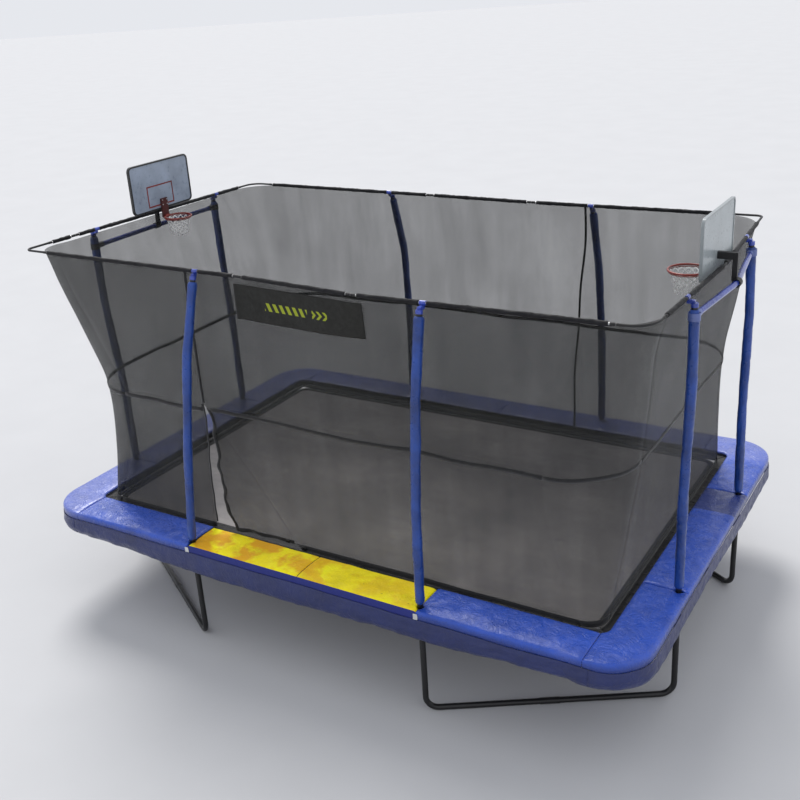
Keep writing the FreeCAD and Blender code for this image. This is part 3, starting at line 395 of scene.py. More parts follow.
def coated_cloth(name, base, rough=0.3, crease=1.0, light=1.18, dark=0.8, coat=0.35, tint=None, spec=0.5):
    """PVC-coated cloth: faint scrim weave under gloss, soft creases and rubbed tone."""
    m = Nodes(name, base, rough, spec=spec)
    colour = m.shades(m.noise(5.0, 5, 0.6), base, dark, light, (0.32, 0.5, 0.72))
    m.color(tint(m, colour) if tint else colour)
    m.grit(26.0, rough, 0.08, 0.16)
    n1 = m.bump(m.weave(700.0, "ADD"), 0.10, 0.0003)
    n2 = m.bump(m.noise(22.0, 5, 0.6), 0.5 * crease, 0.006, n1)
    n3 = m.bump(m.noise(75.0, 4, 0.6), 0.4 * crease, 0.0016, n2)
    crinkle = m.add("ShaderNodeTexNoise", Scale=11.0, Detail=5.0, Roughness=0.5, Distortion=1.6)
    m.link(m.coords(), crinkle.inputs["Vector"])
    ridge = m.math("ABSOLUTE", m.math("SUBTRACT", crinkle.outputs["Fac"], 0.5))
    m.normal(m.bump(m.spread(ridge, 0.0, 1.0, 0.0, 0.10), 0.45 * crease, 0.0040, n3))
    m.coat(coat, 0.20)
    m.sheen(0.05)
    return m.mat


def between(m, value, low, high):
    """1 where a value lies between two limits."""
    return m.math("MULTIPLY", m.math("GREATER_THAN", value, low), m.math("LESS_THAN", value, high))


def axes(m, which="Object"):
    split = m.add("ShaderNodeSeparateXYZ")
    m.link(m.coords(which), split.inputs["Vector"])
    return split.outputs["X"], split.outputs["Y"], split.outputs["Z"]


def mix(m, fac, a, b):
    node = m.add("ShaderNodeMix", data_type="RGBA")
    m.link(fac, node.inputs[0])
    for slot, value in ((6, a), (7, b)):
        if isinstance(value, tuple):
            node.inputs[slot].default_value = (*value, 1)
        else:
            m.link(value, node.inputs[slot])
    return node.outputs[2]


def yellow_tint(m, colour):
    """Painted shadow as orange patches on the left half, faint dots on the right, black bound edges, and
    the lip's blue cloth darkened with painted shade.
    """
    x, y, z = axes(m)
    # painted shadow: orange patches on the left half stand for the shadows of the ring, poles and net
    left = m.spread(x, 1.0, 0.35, -0.2, 0.45)
    patch = m.math("MULTIPLY", left, m.spread(m.noise(3.6, 4, 0.6), 0.0, 1.0, 0.47, 0.56))
    colour = mix(m, m.math("MULTIPLY", patch, 0.85), colour, (0.78, 0.34, 0.004))
    dots = m.add("ShaderNodeTexVoronoi", Scale=11.0)
    m.link(m.coords(), dots.inputs["Vector"])
    spot = m.math("LESS_THAN", dots.outputs["Distance"], 0.09)
    spot = m.math("MULTIPLY", spot, m.spread(x, 0.0, 0.5, 0.1, 0.3))
    colour = mix(m, spot, colour, (0.45, 0.36, 0.01))
    border = m.math("MAXIMUM", m.math("LESS_THAN", x, -0.928), m.math("GREATER_THAN", y, -1.369))
    seam = between(m, x, 0.0225, 0.0275)
    colour = mix(m, m.math("MAXIMUM", border, seam), colour, (0.008, 0.008, 0.009))
    # the lip is blue cloth, darkened with painted shade for its shaded vertical side
    rim = m.math("MAXIMUM", m.math("LESS_THAN", y, -1.640), m.math("LESS_THAN", z, 0.799))
    return mix(m, rim, colour, (0.022, 0.032, 0.20))


def blue_tint(m, colour):
    """Painted highlight of glare on the back and left pads, lighter scuffs, a darker band across the back
    end of the right pad, and painted shade on the pads' lower sides.
    """
    x, y, z = axes(m)
    # painted highlight: the back and left pads are lightened for the glare that lies on them
    far = m.math("MAXIMUM", m.spread(y, 0.0, 1.0, 1.20, 1.34), m.spread(x, 1.0, 0.0, -2.10, -1.95))
    colour = mix(m, m.math("MULTIPLY", far, 0.32), colour, (0.30, 0.32, 0.60))
    scuff = m.spread(m.noise(2.4, 6, 0.68), 0.0, 1.0, 0.50, 0.66)
    colour = mix(m, m.math("MULTIPLY", scuff, 0.28), colour, (0.12, 0.16, 0.50))
    # a darker band across the back end of the right pad
    band = m.math("MULTIPLY", between(m, y, 0.36, 0.71), m.math("GREATER_THAN", x, 2.0))
    colour = mix(m, m.math("MULTIPLY", band, 0.75), colour, (0.016, 0.026, 0.130))
    # painted shade: the pads' turned-down sides are darkened towards the bottom
    side = m.spread(z, 1.0, 0.0, 0.765, 0.810)
    return mix(m, m.math("MULTIPLY", side, 0.85), colour, (0.010, 0.024, 0.15))


def banner_tint(m, colour):
    """Plain slanted bars and chevrons, in place of printed words."""
    u, v, _ = axes(m, "UV")
    row = between(m, v, 0.088, 0.142)
    slant = m.math("ADD", u, m.math("MULTIPLY", v, 0.45))
    bars = m.math("LESS_THAN", m.math("FRACT", m.math("DIVIDE", slant, 0.054)), 0.52)
    one = m.math("MULTIPLY", bars, m.math("MULTIPLY", row, between(m, u, 0.25, 0.60)))
    arrow = m.math("ADD", u, m.math("ABSOLUTE", m.math("SUBTRACT", v, 0.115)))
    points = m.math("LESS_THAN", m.math("FRACT", m.math("DIVIDE", arrow, 0.050)), 0.45)
    two = m.math("MULTIPLY", points, m.math("MULTIPLY", between(m, u, 0.64, 0.76), row))
    mask = m.math("MAXIMUM", one, two)
    return mix(m, m.math("MULTIPLY", mask, 0.85), colour, (0.36, 0.42, 0.020))


def webbing(name, base, rough=0.75, scale=160.0):
    m = Nodes(name, base, rough)
    weave = m.weave(scale, "MULTIPLY", scale * 0.7)
    m.color(m.shades(m.spread(weave, 0, 1), base, 0.6, 1.7, (0.0, 0.5, 1.0)))
    m.grit(40.0, rough)
    m.normal(m.bump(weave, 0.5, 0.0006))
    m.sheen(0.2)
    return m.mat


def mesh_net(name, base, cover, thread):
    """Open mesh: crossing threads at a real pitch, the holes let light through."""
    m = Nodes(name, base, 0.7)
    threads = m.weave(90.0, "MAXIMUM")
    solid = m.spread(threads, cover - 0.16 * thread, cover + 0.16 * thread, 0.2, 0.95)
    patch = m.spread(m.noise(1.3, 3), -0.03, 0.03, 0.3, 0.7)
    drawn = m.spread(m.noise(3.0, 3, stretch=(2.0, 2.0, 0.25)), -0.03, 0.03, 0.3, 0.7)
    m.link(m.math("ADD", m.math("ADD", solid, patch), drawn), m.bsdf.inputs["Alpha"])
    m.color(m.shades(m.noise(2.0), base, 0.7, 1.6))
    m.grit(30.0, 0.7)
    m.normal(m.bump(threads, 0.3, 0.0004))
    m.sheen(0.1)
    return m.mat


def cord_net(name, base, pitch=0.030, cord=0.24):
    """Knotted cords crossing in diamonds, with open holes."""
    m = Nodes(name, base, 0.7)
    turned = m.add("ShaderNodeMapping")
    turned.inputs["Rotation"].default_value = (0, 0, math.radians(45))
    m.link(m.coords("UV"), turned.inputs["Vector"])
    split = m.add("ShaderNodeSeparateXYZ")
    m.link(turned.outputs["Vector"], split.inputs["Vector"])
    u = m.math("FRACT", m.math("DIVIDE", split.outputs["X"], pitch))
    v = m.math("FRACT", m.math("DIVIDE", split.outputs["Y"], pitch))
    cords = m.math("MAXIMUM", m.math("LESS_THAN", u, cord), m.math("LESS_THAN", v, cord))
    m.link(m.spread(cords, 0.0, 0.96), m.bsdf.inputs["Alpha"])
    m.color(m.shades(m.noise(60.0), base, 0.8, 1.1))
    m.grit(80.0, 0.7, 0.1, 0.15)
    m.normal(m.bump(m.noise(500.0, 2), 0.4, 0.0006))
    m.sheen(0.2)
    return m.mat


def woven_mat(name):
    m = Nodes(name, (0.1, 0.1, 0.1), 0.6)
    weave = m.weave(260.0, "MULTIPLY")
    dust = m.noise(1.6, 6, 0.62)
    streak = m.noise(3.0, 4, 0.6, stretch=(1.0, 6.0, 1.0))
    worn = m.noise(0.75, 3, 0.5)
    tone = m.math("ADD", m.math("MULTIPLY", dust, 0.55), m.math("MULTIPLY", streak, 0.2))
    tone = m.math("ADD", tone, m.math("MULTIPLY", worn, 0.25))
    # the greys are far lighter than black mat cloth: partly painted sheen standing in for glare, with dust
    # and wear as random blotches
    dark, middle, light = (0.120, 0.113, 0.120), (0.205, 0.192, 0.196), (0.330, 0.305, 0.298)
    m.color(m.ramp(tone, [(0.32, dark), (0.5, middle), (0.68, light)]))
    m.grit(18.0, 0.6, 0.22, 0.0)
    n1 = m.bump(weave, 0.35, 0.0004)
    m.normal(m.bump(m.noise(4.0, 3), 0.12, 0.01, n1))
    m.sheen(0.15)
    return m.mat


def two_ends(name, left, right, rough=0.3, coat=0.3):
    """Paint or plastic that is one shade at the left end and another at the right."""
    m = Nodes(name, left, rough)
    side = m.math("GREATER_THAN", axes(m)[0], 0.0)
    tone = m.noise(5.0, 5, 0.6)
    places = (0.32, 0.5, 0.7)
    left_tone = m.shades(tone, left, 0.82, 1.15, places)
    m.color(mix(m, side, left_tone, m.shades(tone, right, 0.85, 1.12, places)))
    m.grit(40.0, rough, 0.06, 0.14)
    m.normal(m.bump(m.noise(120.0, 2), 0.05, 0.0003))
    m.coat(coat, 0.15)
    return m.mat


M = {
    "black_paint": painted("black_paint", (0.006, 0.006, 0.007), 0.36, 0.05),
    "plated": plated("plated_steel"),
    "rod_light": plated("rod_light", (0.85, 0.85, 0.85), 0.3),
    "corner_rod": painted("corner_rod", (0.010, 0.010, 0.011), 0.5, 0.0),
    "cross_blue": painted("cross_blue", (0.026, 0.055, 0.34), 0.22, 0.6),
    "bracket": two_ends("bracket_grey", (0.020, 0.022, 0.030), (0.10, 0.14, 0.36)),
    "black_plastic": plastic("black_plastic", (0.008, 0.008, 0.009)),
    "board": two_ends("board_grey", (0.330, 0.390, 0.490), (0.330, 0.370, 0.385)),
    "trim": two_ends("board_trim", (0.010, 0.011, 0.012), (0.270, 0.300, 0.310)),
    "hoop_red": painted("hoop_red", (0.200, 0.018, 0.010), 0.34, 0.2),
    "mount_dark": painted("mount_dark", (0.060, 0.008, 0.007), 0.40, 0.1),
    "pad_blue": coated_cloth("pad_blue", (0.018, 0.080, 0.50), 0.28, coat=0.30, tint=blue_tint, spec=0.4,
                             crease=1.15),
    "pad_yellow": coated_cloth("pad_yellow", (0.98, 0.82, 0.0005), 0.50, tint=yellow_tint, coat=0.03,
                               spec=0.2, crease=0.6),
    # painted shade: the skirt is the pads' blue cloth, darkened for its shaded vertical fall
    "skirt": coated_cloth("skirt_navy", (0.008, 0.018, 0.110), 0.38, crease=1.0, coat=0.15),
    "foam": coated_cloth("foam_blue", (0.005, 0.044, 0.250), 0.32, crease=0.8, coat=0.18, light=1.5,
                         dark=0.6),
    "webbing": webbing("webbing", (0.004, 0.004, 0.005)),
    "sleeve": coated_cloth("net_sleeve", (0.006, 0.006, 0.008), 0.65, crease=1.4, coat=0.0, spec=0.3),
    "thread": webbing("thread", (0.05, 0.05, 0.055), 0.6, 420.0),
    "tie": coated_cloth("tie_cloth", (0.62, 0.63, 0.62), 0.5, coat=0.1),
    "net": mesh_net("net_mesh", (0.004, 0.005, 0.004), 0.45, 0.35),
    # painted shade: a dark mesh sheet over the springs stands for the shade under the frame
    "shade_sheet": mesh_net("shade_sheet_net", (0.004, 0.004, 0.005), 0.86, 0.3),
    "hoop_net": cord_net("hoop_net", (0.80, 0.80, 0.79)),
    "mat": woven_mat("mat_cloth"),
    "banner": coated_cloth("banner_cloth", (0.010, 0.010, 0.008), 0.55, crease=0.5, coat=0.0,
                           tint=banner_tint, spec=0.3),
}

NODE_FINISH = {
    "black_paint": ["long_rail_middles", "end_rail_middles", "rail_outers", "corner_rail_bends",
                    "rail_splices", "rail_joint_sockets", "leg_uprights", "floor_tube_halves",
                    "floor_tube_sleeves", "pole_tubes_lower", "pole_tubes_upper"],
    "plated": ["pole_spigots", "socket_screws", "mat_wire_rings", "hoop_mount_bolts"],
    "rod_light": ["ring_rods"],
    "corner_rod": ["ring_corner_rods", "ring_splices"],
    "cross_blue": ["cross_tubes", "pole_top_caps"],
    "bracket": ["cross_tube_clamps"],
    "black_plastic": ["backboard_posts", "door_clip_flap_half",
                      "door_clip_net_half", "zip_slider", "zip_pull"],
    "board": ["backboard_panels"],
    "trim": ["backboard_trims"],
    "hoop_red": ["hoops"],
    "mount_dark": ["hoop_mounts"],
}


def paint(ob, key):
    ob.data.materials.clear()
    ob.data.materials.append(M[key])
    return ob


for key, names in NODE_FINISH.items():
    for node_name in names:
        paint(NODES[node_name], key)


def finish_piece(ob, key, slot, body="frame", replaces=()):
    """Material, replaced nodes and body of a piece; without a body the piece is left unattached. The slot
    is not used.
    """
    paint(ob, key)
    if replaces:
        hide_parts(*replaces)
    if body:
        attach(ob, body)
    return ob


# ------------------------------------------------------------------ net shape
NET_SLOPES = np.gradient(NET_LEVELS[:, 1:], NET_LEVELS[:, 0], axis=0)


def net_size(z):
    """Half length, half width and corner radius of the net at a height."""
    levels = NET_LEVELS[:, 0]
    z = min(max(z, levels[0]), levels[-1])
    i = int(min(np.searchsorted(levels, z, side="right") - 1, len(levels) - 2))
    h = levels[i + 1] - levels[i]
    t = (z - levels[i]) / h
    a, b = NET_LEVELS[i, 1:], NET_LEVELS[i + 1, 1:]
    ma, mb = NET_SLOPES[i] * h, NET_SLOPES[i + 1] * h
    t2, t3 = t * t, t * t * t
    values = a * (2 * t3 - 3 * t2 + 1) + b * (3 * t2 - 2 * t3)
    return values + ma * (t3 - 2 * t2 + t) + mb * (t3 - t2)


def pulled(p):
    """Moves points of the regular net to the out-of-square ring that holds its top."""
    p = np.asarray(p, float)
    x, y, z = p[..., 0], p[..., 1], p[..., 2]
    share = np.clip((z - 1.8) / (NET_TOP - 1.8), 0, 1)
    front = ring_at("front", np.clip(x, -2.28, 2.28))
    back = ring_at("back", np.clip(x, -2.2, 2.2))
    left = ring_at("left", np.clip(y, -1.24, 1.24))[..., 0] + RING_X
    right = ring_at("right", np.clip(y, -1.24, 1.24))[..., 0] - RING_X
    near = 1.4
    to_left = np.clip((-x - near) / (RING_X - near), 0, 1)
    to_right = np.clip((x - near) / (RING_X - near), 0, 1)
    fy = np.clip((y + RING_Y) / (2 * RING_Y), 0, 1)
    top = (1 - fy) * front[..., 2] + fy * back[..., 2]
    lift = np.clip((z - 2.56) / (NET_TOP - 2.56), 0, 1) * (top - 0.008 - NET_TOP)
    dy = (1 - fy) * (front[..., 1] + RING_Y) + fy * (back[..., 1] - RING_Y)
    return np.stack([x + share * (to_left * left + to_right * right), y + share * dy, z + lift], axis=-1)


def slack(x, y, z):
    """How far the loosely stretched net stands out of its plane."""
    calm = min(1.0, abs(x - ZIP_X) / 0.12) if y < -1.2 else 1.0
    edge = min(1.0, (NET_TOP - z) / 0.25, (z - 0.785) / 0.15)
    wide = fbm(x * 0.9 + 5.0, y * 0.9, z * 1.3, 2) * 0.020
    drawn = fbm(x * 5.0, y * 5.0 + 3.0, z * 0.8, 2) * 0.006
    return (wide + drawn) * max(edge, 0.0) * calm


def wall_point(side, t, z, out=0.0):
    """t is x on a long side, y on a short side."""
    hx, hy, _ = net_size(z)
    sign = 1 if side in ("back", "right") else -1
    if side in ("front", "back"):
        return (t, sign * (hy + out + slack(t, sign * hy, z)), z)
    return (sign * (hx + out + slack(sign * hx, t, z)), t, z)


def corner_point(t, z, sx, sy, out=0.0):
    """t from 0 on the long wall to 1 on the end wall."""
    hx, hy, r = net_size(z)
    a = math.pi / 2 * (1 - t)
    loose = slack(sx * (hx - r), sy * hy, z) * (1 - t) + slack(sx * hx, sy * (hy - r), z) * t
    reach = r + out + loose
    return (sx * (hx - r + reach * math.cos(a)), sy * (hy - r + reach * math.sin(a)), z)


def reach(z, axis):
    """Half length of the straight part of a wall, between the rounded corners."""
    hx, hy, r = net_size(z)
    return (hx if axis == 0 else hy) - r


HEIGHTS = np.concatenate([np.linspace(NET_LOW, SPLIT_Z, 34), np.linspace(SPLIT_Z, NET_TOP, 34)[1:]])
CORNERS = ((-1, -1, "front_left"), (1, -1, "front_right"), (-1, 1, "back_left"), (1, 1, "back_right"))


def door_depth(z):
    """0 where the zip ends, 1 at the foot of the net."""
    return (SPLIT_Z - z) / (SPLIT_Z - NET_LOW)


def fold_x(z):
    """Line on which the flap folds, where the front net ends at the door."""
    return ZIP_X + (DOOR_END_X - ZIP_X) * door_depth(z)


def fixed_x(z):
    """Edge of the door beside the pole."""
    return ZIP_X + (DOOR_FOOT_X - ZIP_X) * door_depth(z)


def with_mat(ob):
    """The foot of the net is tied to the mat's edge; here the piece's transform is only baked into its
    mesh.
    """
    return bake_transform(ob)


def net_part(rows, name="part"):
    return thick_sheet(name, pulled(rows), NET_T)


def build_net():
    made = []

    def whole_wall(side, axis, count):
        return [[wall_point(side, t, z) for t in np.linspace(-reach(z, axis), reach(z, axis), count)]
                for z in HEIGHTS]

    made.append((net_part(whole_wall("back", 0, 64), "net_back_panel"), "net_back", (4.34, 1.98), None))
    upper, lower_left, lower_right = [], [], []
    for z in HEIGHTS:
        e = reach(z, 0)
        if z >= SPLIT_Z - 1e-6:
            cols = np.concatenate([np.linspace(-e, ZIP_X, 16), np.linspace(ZIP_X, e, 46)[1:]])
            upper.append([wall_point("front", x, z) for x in cols])
        if z <= SPLIT_Z + 1e-6:
            lower_left.append([wall_point("front", x, z) for x in np.linspace(-e, fixed_x(z), 16)])
            lower_right.append([wall_point("front", x, z) for x in np.linspace(fold_x(z), e, 46)])
    ob = join("net_front_panel", [net_part(r) for r in (upper, lower_left, lower_right)])
    made.append((ob, "net_front", (4.34, 1.98), 7.9))
    for side in ("left", "right"):
        ob = net_part(whole_wall(side, 1, 40), "net_%s_panel" % side)
        made.append((ob, "net_ends", (2.10, 1.98), None))
    for sx, sy, name in CORNERS:
        rows = [[corner_point(t, z, sx, sy) for t in np.linspace(0, 1, 15)] for z in HEIGHTS]
        made.append((net_part(rows, "net_corner_" + name), "net_corners", (0.60, 1.98), None))
    return made


def strip(name, rows, thick, key="webbing", slot="webbing"):
    return finish_piece(thick_sheet(name, np.asarray(rows, float), thick), key, slot, None)


def wavy(x, y, size):
    """How far webbing strays up or down from its height."""
    return size * fbm(x * 2.2 + 9.0, y * 2.2, 4.0, 2)


def round_net(height, half, thick, wave, name, door_gap):
    """Webbing run round the net at one height, open at the door, as one joined piece."""
    parts = []

    def add(place, values):
        rows = []
        for k in (-1, 1):
            row = []
            for t in values:
                x, y, _ = place(t, height)
                row.append(place(t, height + wavy(x, y, wave) + k * half))
            rows.append(row)
        parts.append(thick_sheet("part", np.array(rows), thick))

    for side, axis in (("back", 0), ("left", 1), ("right", 1)):
        e = reach(height, axis)
        add(lambda t, z, side=side: wall_point(side, t, z, WEB_OUT), np.linspace(-e, e, 60))
    e = reach(height, 0)
    for low, high, n in ((-e, door_gap[0], 20), (door_gap[1], e, 56)):
        add(lambda t, z: wall_point("front", t, z, WEB_OUT), np.linspace(low, high, n))
    for sx, sy, _ in CORNERS:
        add(lambda t, z, sx=sx, sy=sy: corner_point(t, z, sx, sy, WEB_OUT), np.linspace(0, 1, 14))
    return finish_piece(join(name, parts), "webbing", "webbing", None)


net_pieces = build_net()

band_gap = (ZIP_X - 0.02, fold_x(BAND_Z) + 0.014)
mid_band = round_net(BAND_Z, 0.014, 0.002, 0.016, "net_mid_band_web", band_gap)
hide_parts("net_mid_band")
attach(mid_band, "frame")

hem_z = NET_LOW + HEM_H / 2
hem_gap = (DOOR_FOOT_X - 0.006, fold_x(hem_z) + 0.03)
hem = round_net(hem_z, HEM_H / 2, 0.003, 0.004, "net_hem_web", hem_gap)
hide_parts("net_bottom_hem")
with_mat(hem)

seam_rows = []
for z in np.linspace(0.838, NET_TOP, 60):
    seam_x = 0.797 + 0.103 * (z - NET_LOW) / (NET_TOP - NET_LOW)
    drift = 0.012 * math.sin(z * 3.1) + 0.006 * math.sin(z * 8.3)
    seam_rows.append([wall_point("back", seam_x + drift + k, z, WEB_OUT) for k in (-0.009, 0.0, 0.009)])
seam = strip("net_back_seam_web", pulled(seam_rows)[::-1], 0.0018)
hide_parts("net_back_seam")
with_mat(seam)

tape_rows = []
for z in np.linspace(SPLIT_Z + 0.010, NET_TOP - 0.004, 40):
    tape_rows.append([wall_point("front", ZIP_X + k, z, 0.0030) for k in (-0.012, -0.004, 0.004, 0.012)])
tape = strip("zip_tape_web", pulled(tape_rows), 0.0016)


def build_teeth():
    """One small block for each tooth, set left and right of the zip in turn."""
    width, depth, height, aside, pitch = 0.0030, 0.0014, 0.0022, 0.0006, 0.007
    block = ((-1, -1, -.6), (1, -1, -.6), (1, 1, -.6), (-1, 1, -.6),
             (-.7, -1.3, .6), (.7, -1.3, .6), (.7, 1, .6), (-.7, 1, .6))
    sides = ((0, 3, 2, 1), (4, 5, 6, 7), (0, 1, 5, 4), (1, 2, 6, 5), (2, 3, 7, 6), (3, 0, 4, 7))
    verts, faces = [], []
    for i, level in enumerate(np.arange(SPLIT_Z + 0.014, NET_TOP - 0.02, pitch)):
        x, y, z = pulled([wall_point("front", ZIP_X, level, 0.0050)])[0]
        x += aside if i % 2 else -aside
        verts += [(x + a * width, y + b * depth, z + c * height) for a, b, c in block]
        faces += [tuple(i * len(block) + j for j in f) for f in sides]
    return finish_piece(make_mesh("zip_teeth", verts, faces, smooth=False), "black_plastic", "zip_nylon")


zip_teeth = build_teeth()
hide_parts("door_zip_tape")
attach(tape, "frame")

edge_rows = []
for z in np.linspace(0.838, SPLIT_Z - 0.024, 40):
    x = fixed_x(z) + 0.007 * math.sin(z * 9) + 0.003 * math.sin(z * 31)
    edge_rows.append([wall_point("front", x + k, z, 0.0030) for k in (-0.007, 0.0, 0.007)])
fixed_edge = strip("door_fixed_edge_web", edge_rows, 0.0024)
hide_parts("door_fixed_edge")
with_mat(fixed_edge)

# ------------------------------------------------------------------ door flap
def loose_x(z):
    """Hanging edge of the flap, curled back from the zip's end to its foot."""
    return float(np.interp(z, (0.824, 0.90, 1.04, 1.30, 1.55, 1.70, 1.764),
                           (-0.722, -0.768, -0.812, -0.826, -0.832, -0.846, -0.893)))


def flap_edges(z):
    """x of the loose edge and of the fold, just clear of the front net."""
    return loose_x(z), fold_x(z) + 0.003


def flap_point(u, z, out=0.0):
    """u from 0 on the loose edge to 1 on the fold."""
    a, b = flap_edges(z)
    x = a + (b - a) * u
    depth = door_depth(z)
    free = 1 - u
    y = -1.3085 * free + (wall_point("front", b, z)[1] - 0.0012) * u
    y -= 0.034 * free * depth * math.sin(min(1.0, depth * 1.3) * math.pi * 0.9)
    y -= 0.010 * free * depth * (1 + math.sin(u * 17 + z * 9))
    y -= 0.004 * free * math.sin(z * 34 + u * 4)
    return (x, y - out, z)


flap_z = np.linspace(0.826, 1.758, 56)
flap_rows = [[flap_point(u, z) for u in np.linspace(0, 1, 22)] for z in flap_z]
flap = thick_sheet("door_flap_sheet", np.array(flap_rows), NET_T)
finish_piece(flap, "net", "net_mesh", "door_flap", ["door_flap_net"])

bind = []
for z in np.linspace(0.826, 1.752, 90):
    row = []
    width = 0.026 + 0.004 * math.sin(z * 40)
    a, b = flap_edges(z)
    for k in np.linspace(0, 1, 5):
        x = a - 0.008 + width * k + 0.009 * math.sin(z * 23) + 0.004 * math.sin(z * 51)
        u = min(max((x - a) / max(b - a, 0.02), 0.0), 1.0)
        row.append((x, *flap_point(u, z, 0.0022 + 0.0016 * math.sin(math.pi * k))[1:]))
    bind.append(row)
edge_bind = strip("door_flap_edge_web", bind, 0.0034)
foot = []
for x in np.linspace(-0.712, -0.236, 50):
    row = []
    for k in np.linspace(0, 1, 4):
        z = 0.826 + 0.027 * k + 0.003 * math.sin(x * 30)
        a, b = flap_edges(z)
        u = min(max((x - a) / (b - a), 0.0), 1.0)
        row.append((x, flap_point(u, z, 0.0024)[1], z))
    foot.append(row)
foot_bind = strip("door_flap_foot_web", np.array(foot).transpose(1, 0, 2), 0.003)
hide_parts("door_flap_bindings")
for ob in (edge_bind, foot_bind):
    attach(ob, "door_flap")


# ------------------------------------------------------------------ sleeve of the net round the ring
def ring_sleeves():
    """The net's fabric sleeve on each straight rod, open at rod joints, poles and corners."""
    gap_joint, gap_pole, stub = 0.042, 0.026, 0.190
    parts = []
    for side, (pts, axis) in RING.items():
        pts = pts.copy()
        for end, beside in ((0, 1), (-1, -2)):
            inward = pts[beside] - pts[end]
            pts[end] = pts[end] + inward / np.linalg.norm(inward) * stub
        poles = [ring_at(side, spots[3][axis]) for name, spots in POLES.items() if name.startswith(side)]
        for a, b in zip(pts, pts[1:]):
            length = np.linalg.norm(b - a)
            step = (b - a) / length
            marks = [(0.0, gap_joint), (length, gap_joint)]
            for spot in poles:
                t = float((spot - a) @ step)
                if 0 < t < length:
                    marks.append((t, gap_pole))
            marks.sort()
            for (t0, g0), (t1, g1) in zip(marks, marks[1:]):
                parts.append(sleeve_piece(a + step * (t0 + g0), a + step * (t1 - g1)))
    return join("net_top_sleeve_cloth", parts)


def sleeve_piece(a, b):
    length = np.linalg.norm(b - a)
    n = max(int(length / 0.011), 6)
    sides = 12
    path = a + (b - a) * np.linspace(0, 1, n)[:, None]
    rad = np.empty((n, sides))
    for i in range(n):
        end = min(i, n - 1 - i) * length / n
        for j in range(sides):
            q = 2 * math.pi * j / sides
            x = path[i][0] * 38 + path[i][1] * 31
            rad[i, j] = 0.0142 + 0.0030 * fbm(x, math.cos(q) * 1.2, math.sin(q) * 1.2, 2)
            rad[i, j] += 0.0009 * math.sin(x * 0.9 + 2 * q)
            if end < 0.012:
                rad[i, j] -= 0.0010 * (1 - end / 0.012)
    path = path - np.array((0, 0, 0.0006))
    return tube("part", path, np.maximum(rad, 0.0106), sides)


top_sleeve = ring_sleeves()
finish_piece(top_sleeve, "sleeve", "webbing", "frame", ["net_top_sleeves"])

for ob, node, flat, area in net_pieces:
    paint(ob, "net")
    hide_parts(node)
    extra = {"net_front_panel": [top_sleeve, mid_band, hem, tape, zip_teeth, fixed_edge],
             "net_back_panel": [seam]}.get(ob.name, [])
    with_mat(ob)
    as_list(extra)


# ------------------------------------------------------------------ pads
PAD_W = PAD_OUT_X - PAD_IN_X
POLE_SPOTS = [np.array(spots[0]) for spots in POLES.values()]


def lip_depth(x, y):
    """Share of the pad's turned-down lip at a place, about 1."""
    return 1.0 + 0.30 * fbm(x * 2.3, y * 2.3, 7.0, 2)


def pad_profile():
    """Cross-section from the inner edge round the outer edge: across, height, crown, lip."""
    rows = [(0.003, 0.0040, 0, 0), (-0.001, 0.0105, 0, 0), (0.003, 0.0175, 0.1, 0)]
    for a in np.linspace(0.012, 0.284, 20):
        q = a / PAD_W
        rows.append((a, 0.0205, (4 * q * (1 - q)) ** 0.7, 0))
    rows += [(0.292, 0.0198, 0.12, 0), (0.298, 0.0168, 0, 0), (0.3015, 0.010, 0, 0), (0.3028, 0.0, 0, 0),
             (0.3034, -0.012, 0, 0.3), (0.3036, -0.024, 0, 0.6), (0.3030, -0.036, 0, 0.9),
             (0.3000, -0.0415, 0, 1), (0.2950, -0.041, 0, 1), (0.2905, -0.032, 0, 0.8),
             (0.2890, -0.014, 0, 0.3), (0.2885, 0.0008, 0, 0)]
    for a in (0.25, 0.17, 0.09, 0.03):
        rows.append((a, 0.0008, 0, 0))
    return np.array(rows)


PROFILE = pad_profile()


def crease(x, y, seed):
    """Wrinkles of the cover: broad ripples, and short rays from each pole foot."""
    h = 0.0042 * fbm(x * 4.2 + seed, y * 4.2, seed, 3) + 0.0020 * fbm(x * 15, y * 15 + seed, 2.0, 2)
    for spot in POLE_SPOTS:
        dx, dy = x - spot[0], y - spot[1]
        d = math.hypot(dx, dy)
        if d < 0.42:
            q = math.atan2(dy, dx)
            ray = math.sin(9 * q + 3 * fbm(d * 6, q, seed, 2))
            h += 0.0038 * ray * math.exp(-d / 0.16) * min(1, d / 0.05)
    return h


